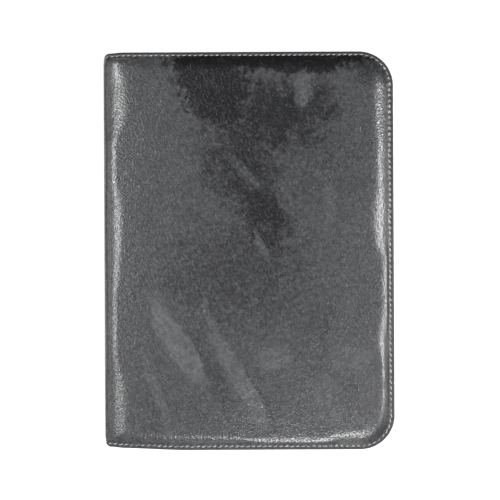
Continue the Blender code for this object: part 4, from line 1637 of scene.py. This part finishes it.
LIGHT_PATCHES = (
    Patch(-0.060, -0.073, 0.0105, 0.041, 31, 0.86, 0.85),
    Patch(-0.008, -0.104, 0.0080, 0.046, 31, 0.66, 0.80),
    Patch(-0.031, -0.055, 0.0030, 0.018, 15, 0.50),
    Patch(-0.076, -0.112, 0.0040, 0.036, 19, 0.50),
    Patch(-0.067, -0.137, 0.0030, 0.020, 12, 0.50),
    Patch(0.021, -0.087, 0.0140, 0.011, 20, 0.60),
    Patch(0.082, -0.088, 0.0180, 0.013, 0, 0.42),
    Patch(0.064, -0.122, 0.0120, 0.024, 10, 0.30),
    Patch(0.044, 0.132, 0.0070, 0.015, 5, 0.50),
    Patch(-0.003, 0.064, 0.0050, 0.028, 47, 0.34, 0.30),
    Patch(0.066, 0.033, 0.0050, 0.022, 0, 0.35, 0.55),
    Patch(0.011, 0.004, 0.0030, 0.018, 20, 0.40),
)
BACK_DARK_PATCHES = (
    Patch(0.030, -0.040, 0.052, 0.070, 30, 0.45),
    Patch(-0.050, 0.080, 0.040, 0.050, -20, 0.40),
)
BACK_LIGHT_PATCHES = (
    Patch(-0.030, -0.100, 0.020, 0.042, 25, 0.40),
    Patch(0.060, 0.090, 0.018, 0.040, -28, 0.35),
    Patch(0.000, 0.010, 0.014, 0.034, 15, 0.30),
)


@dataclass(frozen=True)
class WaxedLeather:
    """Glossy pebbled leather with dark clouds and pale, smoother streaks in its colour."""

    name: str
    dark_patches: tuple[Patch, ...]
    light_patches: tuple[Patch, ...]
    body: Triple = (0.056, 0.057, 0.06)
    cloud: Triple = (0.003, 0.003, 0.004)
    pale: Triple = (0.098, 0.1, 0.105)
    rough: float = 0.23
    # painted shade: the tone that the rim's steep turned edge is painted down to
    rim_painted_shade: float = 0.16
    grain_scale: float = 620.0
    grain_depth: float = 0.00005
    vein_scale: float = 430.0
    pebble_scale: float = 660.0
    pebble_depth: float = 0.00012
    swell_depth: float = 0.00012
    patch_edge: float = 1.12
    pale_calm: float = 0.85
    pit_shade: float = 0.55
    vein_shade: float = 0.42
    ridge_light: float = 0.26
    cloud_ridges: float = 1.3
    spine_fade: float = 0.0035

    def cover_with(self, w: Weave, place: Socket, patches: Sequence[Patch], frayed: Socket) -> Socket:
        """The greatest of the patches at each place: its weight inside the core, 0 past its frayed edge."""
        total: object = 0.0
        for patch in patches:
            size = (patch.half_width, patch.half_height, 1.0)
            local = w.moved(place, (patch.x, patch.y, 0.0), math.radians(patch.turn), size)
            away = w.node("VectorMath", {0: local}, operation="LENGTH").outputs["Value"]
            share = w.step(w.plus(away, frayed), patch.core, self.patch_edge, patch.weight, 0.0)
            total = w.math("MAXIMUM", total, share)
        return total

    def patch_shares(self, w: Weave, mottle: Socket, fine_mottle: Socket) -> tuple[Socket, Socket]:
        """The shares of the dark and of the pale colour: patches frayed by the mottle, the dark ones with
        thin spots.
        """
        ragged = w.shaken(w.shaken(w.place, 34.0, 0.014, 3.0), 150.0, 0.0035, 3.0)
        frayed = w.less(w.plus(w.times(mottle, 1.5), w.times(fine_mottle, 0.9)), 1.2)
        dark = self.cover_with(w, ragged, self.dark_patches, frayed)
        light = self.cover_with(w, ragged, self.light_patches, w.times(frayed, 0.5))
        spots = w.noise(w.shaken(w.place, 90, 0.01), 130, 5, 0.7)
        return w.times(dark, w.step(spots, 0.55, 0.62, 1, 0.8)), light

    def spine_streaks_and_painted_light(self, w: Weave) -> Socket:
        """The tone over the spine: short streaks across it, whose factor is mostly above 1 and paints light
        on the roll that the lamps leave dim, and darker along its outer face as painted shade.
        """
        x = w.axis("X")
        spine = w.step(x, SIZES.fold_x, SIZES.fold_x - self.spine_fade)
        streaks = w.noise(w.moved(w.place, size=(1, 22, 1)), 1500, 2, 0.5)
        # painted shade: the spine's outer face is darkened where the roll turns away
        outer = w.step(x, SIZES.spine_x + 0.0002, SIZES.spine_x + 0.002, 0.5, 1)
        # the streak factor of 0.82 to 1.42 also paints light on the roll
        return w.mix(spine, (1, 1, 1), w.times(w.step(streaks, 0.32, 0.68, 0.82, 1.42), outer))

    def material(self) -> Material:
        """Builds the material."""
        w = Weave(self.name, bends=True)
        mottle = w.noise(w.place, 60, 7, 0.66)
        fine_mottle = w.noise(w.shaken(w.place, 300, 0.002), 260, 4, 0.65)
        dark, light = self.patch_shares(w, mottle, fine_mottle)
        calm = w.dimmed(light, self.pale_calm)
        stretched = w.moved(w.shaken(w.place, 500.0, 0.0016), turn=0.5, size=(1, 1.6, 1))
        pits = w.times(w.step(w.noise(stretched, self.grain_scale, 2, 0.55), 0.54, 0.64), calm)
        ridges = w.step(w.noise(stretched, self.grain_scale * 0.8, 2, 0.55), 0.38, 0.5, 1, 0)
        cracks = w.cells(w.shaken(w.place, 260.0, 0.0035), self.vein_scale, "DISTANCE_TO_EDGE")
        veins = w.times(w.step(cracks, 0.02, 0.16, 1, 0), calm, w.step(mottle, 0.4, 0.6, 0.35, 1))
        rim = w.mark("rim")
        tone = w.times(
            w.step(mottle, 0.3, 0.7, 0.86, 1.14),
            w.step(fine_mottle, 0.34, 0.66, 0.78, 1.22),
            w.dimmed(pits, self.pit_shade),
            w.dimmed(veins, self.vein_shade),
            w.plus(1, w.times(ridges, w.plus(self.ridge_light, w.times(dark, self.cloud_ridges)), calm)),
            # painted shade on the rim, which is also made rougher below
            w.step(rim, 0, 1, 1, self.rim_painted_shade),
            # the spine's tone holds painted light on its roll and painted shade on its outer face
            self.spine_streaks_and_painted_light(w),
        )
        colour = w.shade(w.mix(light, w.mix(dark, self.body, self.cloud), self.pale), tone)
        uneven = w.plus(w.times(dark, 0.03), w.times(light, -0.02), w.times(pits, 0.06), w.times(rim, 0.2))
        pebble = w.cells(w.shaken(w.place, 300.0, 0.0022), self.pebble_scale)
        normal = w.relief(w.noise(w.place, 170, 3, 0.6), self.swell_depth, 0.6)
        normal = w.relief(pebble, self.pebble_depth, 0.8, normal)
        normal = w.relief(w.less(w.times(ridges, 0.6), pits), self.grain_depth, 0.6, normal)
        return w.finish(colour, w.plus(self.rough, uneven), normal, IOR=1.6)


@dataclass(frozen=True)
class PlainFinish:
    """A finish with one colour, a fine mottle and a small relief: board, card, foam and tape."""

    name: str
    colour: Triple
    rough: float
    scale: float
    depth: float
    contrast: float = 0.18
    speck: float = 0.0

    def material(self) -> Material:
        """Builds the material."""
        w = Weave(self.name)
        fibre = w.noise(w.place, self.scale, 4, 0.6)
        cloud = w.noise(w.place, 40, 3)
        fibre_tone = w.step(fibre, 0.3, 0.7, 1.0 - self.contrast, 1.0 + self.contrast)
        tone = w.times(fibre_tone, w.step(cloud, 0.3, 0.7, 0.95, 1.05))
        if self.speck:
            specks = w.step(w.cells(w.place, self.scale * 0.5), 0.05, 0.22, 1.0 - self.speck, 1)
            tone = w.times(tone, specks)
        rough = w.step(cloud, 0.3, 0.7, self.rough - 0.04, self.rough + 0.04)
        return w.finish(w.shade(self.colour, tone), rough, w.relief(fibre, self.depth, 0.7))


@dataclass(frozen=True)
class WovenFinish:
    """A woven cloth: two crossed sets of threads, over and under."""

    name: str
    colour: Triple
    rough: float
    thread: float
    depth: float
    sheen: float = 0.0

    def material(self) -> Material:
        """Builds the material."""
        w = Weave(self.name, bends=True)
        place = w.shaken(w.place, 60.0, self.thread * 0.6)
        checks = w.math("MAXIMUM", w.bands(place, self.thread, "X"), w.bands(place, self.thread, "Y"))
        slub = w.noise(w.moved(w.place, size=(1, 14, 1)), 900, 2)
        tone = w.times(w.step(checks, 0.1, 1, 0.62, 1.18), w.step(slub, 0.3, 0.7, 0.88, 1.12))
        normal = w.relief(checks, self.depth, 0.8)
        return w.finish(w.shade(self.colour, tone), self.rough, normal, Sheen_Weight=self.sheen)


@dataclass(frozen=True)
class TwistedThread:
    """Sewing thread: strands twisted round it show as slanted grooves along each stitch."""

    colour: Triple = (0.46, 0.46, 0.45)
    strand_pitch: float = math.pi / 1300.0

    def material(self) -> Material:
        """Builds the material."""
        w = Weave("pale_twisted_thread", bends=True)
        strand = w.bands(w.moved(w.place, turn=0.7), self.strand_pitch, "X", 0.6)
        fuzz = w.noise(w.place, 900, 2)
        soil = w.noise(w.place, 150, 3)
        tone = w.times(w.step(strand, 0, 0.6, 0.8, 1.08), w.step(fuzz, 0.3, 0.7, 0.9, 1.1))
        tone = w.times(tone, w.step(soil, 0.35, 0.65, 0.66, 1.16))
        normal = w.relief(strand, 0.00006, 0.6)
        return w.finish(w.shade(self.colour, tone), 0.62, normal, Sheen_Weight=0.15)


@dataclass(frozen=True)
class FineLeather:
    """Thin smooth leather with a fine even grain and a dull shine."""

    name: str
    colour: Triple
    rough: float = 0.44
    grain: float = 1500.0
    depth: float = 0.00006

    def material(self) -> Material:
        """Builds the material."""
        w = Weave(self.name)
        place = w.shaken(w.place, 700.0, 0.0007)
        crease = w.cells(place, self.grain, "DISTANCE_TO_EDGE")
        line = w.step(crease, 0.02, 0.2)
        cloud = w.noise(w.place, 38, 4, 0.6)
        rub = w.step(w.noise(w.place, 120, 3, 0.6), 0.52, 0.75)
        grain_tone, cloud_tone = w.step(line, 0, 1, 0.66, 1.06), w.step(cloud, 0.3, 0.7, 0.86, 1.16)
        tone = w.times(grain_tone, cloud_tone, w.plus(1, w.times(rub, 0.2)))
        rough = w.less(w.step(line, 0, 1, self.rough + 0.14, self.rough), w.times(rub, 0.06))
        normal = w.relief(line, self.depth, 0.75, w.relief(cloud, 0.00012, 0.4))
        return w.finish(w.shade(self.colour, tone), rough, normal)


@dataclass(frozen=True)
class RuledPaper:
    """White paper with faint ruled lines and a margin on its face, and on its sides fine layers with a
    painted shade line between each two sheets.
    """

    paper: Triple = (0.74, 0.74, 0.7)
    line_colour: Triple = (0.3, 0.4, 0.52)
    margin_colour: Triple = (0.58, 0.28, 0.28)
    line_pitch: float = 0.008
    line_width: float = 0.00026
    margin_x: float = -0.074
    first_line_y: float = 0.112
    leaf: float = 0.00028

    def material(self) -> Material:
        """Builds the material."""
        w = Weave("ruled_paper")
        fibre = w.noise(w.place, 1200, 4, 0.6)
        x, y, z = w.axis("X"), w.axis("Y"), w.axis("Z")
        facing = w.node("NewGeometry", {}).outputs["Normal"]
        face = w.step(w.node("SeparateXYZ", {0: facing}).outputs["Z"], 0.6, 0.9)
        phase = w.math("FRACT", w.math("DIVIDE", w.plus(y, 1.0 - self.first_line_y), self.line_pitch))
        near = w.times(w.math("MINIMUM", phase, w.less(1, phase)), self.line_pitch)
        below = w.step(y, self.first_line_y - 0.001, self.first_line_y + 0.001, 1, 0)
        ruled = w.times(w.step(near, self.line_width * 0.4, self.line_width, 0.75, 0), below)
        off = w.math("ABSOLUTE", w.less(x, self.margin_x))
        margin = w.step(off, self.line_width * 0.4, self.line_width, 0.6, 0)
        colour = w.mix(w.times(ruled, face), self.paper, self.line_colour)
        colour = w.mix(w.times(margin, face), colour, self.margin_colour)
        # painted shade: a darker line at the gap between each two sheets on the pad's sides
        layers = w.math("FRACT", w.math("DIVIDE", w.plus(z, 1), self.leaf))
        shade = w.mix(face, w.step(layers, 0, 0.35, 0.66, 1), (1, 1, 1))
        tone = w.times(w.step(fibre, 0.3, 0.7, 0.97, 1.03), shade)
        return w.finish(w.shade(colour, tone), 0.75, w.relief(fibre, 0.00003, 0.4))


@dataclass(frozen=True)
class RibbedElastic:
    """Woven elastic: fine crosswise ribs between the raised ones, and a slight sheen."""

    colour: Triple = (0.022, 0.022, 0.024)
    rib_pitch: float = 0.00042

    def material(self) -> Material:
        """Builds the material."""
        w = Weave("black_ribbed_elastic")
        rows = w.bands(w.place, self.rib_pitch, "Y")
        knots = w.noise(w.moved(w.place, size=(1, 2.5, 1)), 1800, 2)
        tone = w.times(w.step(rows, 0.1, 0.9, 0.6, 1.2), w.step(knots, 0.3, 0.7, 0.8, 1.25))
        normal = w.relief(knots, 0.00006, 0.5, w.relief(rows, 0.00008, 0.8))
        return w.finish(w.shade(self.colour, tone), 0.72, normal, Sheen_Weight=0.25)


@dataclass(frozen=True)
class ClearVinyl:
    """Clear soft vinyl: see-through, glossy, with faint scuffs."""

    colour: Triple = (0.93, 0.95, 0.95)

    def material(self) -> Material:
        """Builds the material."""
        w = Weave("clear_soft_vinyl")
        scratched = w.moved(w.place, turn=0.6, size=(1, 9, 1))
        scuff = w.step(w.noise(scratched, 500, 3, 0.6), 0.55, 0.75)
        soft = w.noise(w.place, 60, 2)
        colour = w.shade(self.colour, w.step(soft, 0.3, 0.7, 0.97, 1))
        rough = w.plus(0.05, w.times(scuff, 0.22))
        return w.finish(colour, rough, w.relief(soft, 0.0002, 0.35), Transmission_Weight=0.95, IOR=1.46)


# Stage, lamps and camera
@dataclass(frozen=True)
class SoftLamp:
    """A soft rectangular lamp aimed at a point: its length is level, its breadth across it."""

    name: str
    place: Triple
    aim: Triple
    length: float
    breadth: float
    power: float

    def build(self) -> None:
        """Makes the lamp."""
        data = bpy.data.lights.new(self.name, "AREA")
        data.shape = "RECTANGLE"
        data.size = self.length
        data.size_y = self.breadth
        data.energy = self.power
        lamp = bpy.data.objects.new(self.name, data)
        lamp.location = self.place
        lamp.rotation_euler = (Vector(self.aim) - Vector(self.place)).to_track_quat("-Z", "Y").to_euler()
        bpy.context.scene.collection.objects.link(lamp)


@dataclass(frozen=True)
class Studio:
    """A white table, lamps for the highlights on each side, low ones for shade, and a camera overhead."""

    lamps: tuple[SoftLamp, ...] = (
        SoftLamp("lamp_right_head", (0.78, 0.165, 1.32), (0.08, 0.05, 0.02), 0.13, 0.26, 5.6),
        SoftLamp("lamp_right_middle", (0.78, -0.03, 1.32), (0.08, -0.02, 0.02), 0.20, 0.26, 2.4),
        SoftLamp("lamp_right_tail", (0.78, -0.27, 1.32), (0.08, -0.10, 0.02), 0.14, 0.26, 5.1),
        SoftLamp("lamp_left_head", (-0.70, 0.312, 1.36), (-0.08, 0.05, 0.02), 0.08, 0.28, 3.2),
        SoftLamp("lamp_left_middle", (-0.70, 0.12, 1.36), (-0.08, 0.05, 0.02), 0.20, 0.28, 3.9),
        SoftLamp("lamp_left_tail", (-0.70, -0.26, 1.36), (-0.08, -0.06, 0.02), 0.30, 0.28, 3.9),
        SoftLamp("lamp_tail", (0.16, -0.76, 1.30), (0.05, -0.14, 0.02), 0.28, 0.22, 7.2),
        SoftLamp("lamp_right_low", (1.16, -0.06, 0.75), (0.10, -0.06, 0.02), 0.80, 0.50, 2.6),
        SoftLamp("lamp_left_low", (-1.16, -0.02, 0.75), (-0.10, 0.00, 0.02), 0.80, 0.50, 2.4),
        SoftLamp("lamp_tail_low", (0.08, -1.20, 0.75), (0.04, -0.15, 0.02), 0.50, 0.50, 1.7),
    )
    air: float = 0.15
    air_colour: Triple = (0.98, 0.99, 1.0)
    floor_half: float = 30.0
    floor_drop: float = 0.00002
    floor_grey: float = 0.85
    floor_glow: float = 0.42
    camera_place: Triple = (0.0009, 0.0007, 0.87)
    camera_roll: float = -0.28
    lens: float = 75.0

    def floor(self) -> None:
        """A wide floor: white to the camera and in reflections, and still shaded by the object."""
        shell = Shell()
        h, z = self.floor_half, -self.floor_drop
        shell.polygon(shell.add(np.array([[-h, -h, z], [h, -h, z], [h, h, z], [-h, h, z]])))
        w = Weave("white_floor")
        seen = w.node("LightPath", {}).outputs
        shown = w.math("MAXIMUM", seen["Is Camera Ray"], seen["Is Glossy Ray"])
        shown = w.math("MAXIMUM", shown, seen["Is Transmission Ray"])
        finish = w.finish(
            (self.floor_grey,) * 3, 1.0, Specular_IOR_Level=0.0,
            Emission_Color=(1.0, 1.0, 1.0), Emission_Strength=w.times(shown, self.floor_glow),
        )
        shell.build("floor", finish)

    def air_light(self) -> None:
        """Even grey light from all round."""
        world = bpy.data.worlds.new("studio_air")
        world.use_nodes = True
        sky = world.node_tree.nodes["Background"]
        sky.inputs["Color"].default_value = (*self.air_colour, 1.0)
        sky.inputs["Strength"].default_value = self.air
        bpy.context.scene.world = world

    def camera(self) -> None:
        """A long lens straight over the cover, turned by the photograph's slight tilt."""
        data = bpy.data.cameras.new("camera")
        data.sensor_width = 36.0
        data.lens = self.lens
        data.clip_end = 100.0
        data.dof.use_dof = False
        camera = bpy.data.objects.new("camera", data)
        camera.location = self.camera_place
        camera.rotation_euler = (0.0, 0.0, math.radians(self.camera_roll))
        bpy.context.scene.collection.objects.link(camera)
        bpy.context.scene.camera = camera

    def build(self) -> None:
        """Sets the whole studio up."""
        self.floor()
        self.air_light()
        for lamp in self.lamps:
            lamp.build()
        self.camera()
        bpy.context.scene.view_settings.view_transform = "Standard"


def main() -> None:
    """Builds the portfolio's pieces in order, then the studio."""
    logging.basicConfig(level=logging.INFO, format="%(message)s")
    front_leather = WaxedLeather("front_waxed_leather", DARK_PATCHES, LIGHT_PATCHES).material()
    back_leather = WaxedLeather("back_waxed_leather", BACK_DARK_PATCHES, BACK_LIGHT_PATCHES).material()
    thread = TwistedThread().material()
    lining = WovenFinish("black_woven_lining", (0.03, 0.03, 0.033), 0.75, 0.00055, 0.00009, 0.15).material()
    foam = PlainFinish("grey_open_foam", (0.35, 0.35, 0.36), 0.95, 1400.0, 0.0002, 0.2, speck=0.5).material()
    covers = ((Side.FRONT, FRONT_PADDING, front_leather), (Side.BACK, BACK_PADDING, back_leather))
    for side, padding, leather in covers:
        form = CoverForm(side, padding)
        skin = CoverSkin(form)
        skin.build(leather)
        CoverFoam(form).build(foam)
        EdgeStitches(skin).build(thread)
        CoverLining(side).build(lining)
    pocket_leather = FineLeather("black_pocket_leather", (0.04, 0.04, 0.043)).material()
    binding = FineLeather("black_bound_edge", (0.026, 0.026, 0.028), 0.38, 1900.0).material()
    inside = Inside(pocket_leather, binding, thread)
    inside.build_back()
    inside.build_front(ClearVinyl().material())
    loop_threads = Shell()
    PenLoop().build(RibbedElastic().material(), loop_threads)
    inside.threads_piece(loop_threads, "pen_loop_stitches", "spine")
    pad = WritingPad()
    card = PlainFinish("brown_pad_card", (0.33, 0.27, 0.2), 0.85, 900.0, 0.00008, 0.14, speck=0.25)
    pad.build_backing(card.material())
    pad.build_sheets(RuledPaper().material())
    pad.build_tape(WovenFinish("black_cloth_tape", (0.02, 0.022, 0.03), 0.6, 0.00045, 0.00008).material())
    board = PlainFinish("grey_binding_board", (0.32, 0.29, 0.25), 0.9, 700.0, 0.0001, 0.2, speck=0.4)
    finish = board.material()
    for node in ("front_board", "back_board", "spine_board"):
        dress(node, finish)
    Studio().build()


if __name__ == "__main__":
    main()
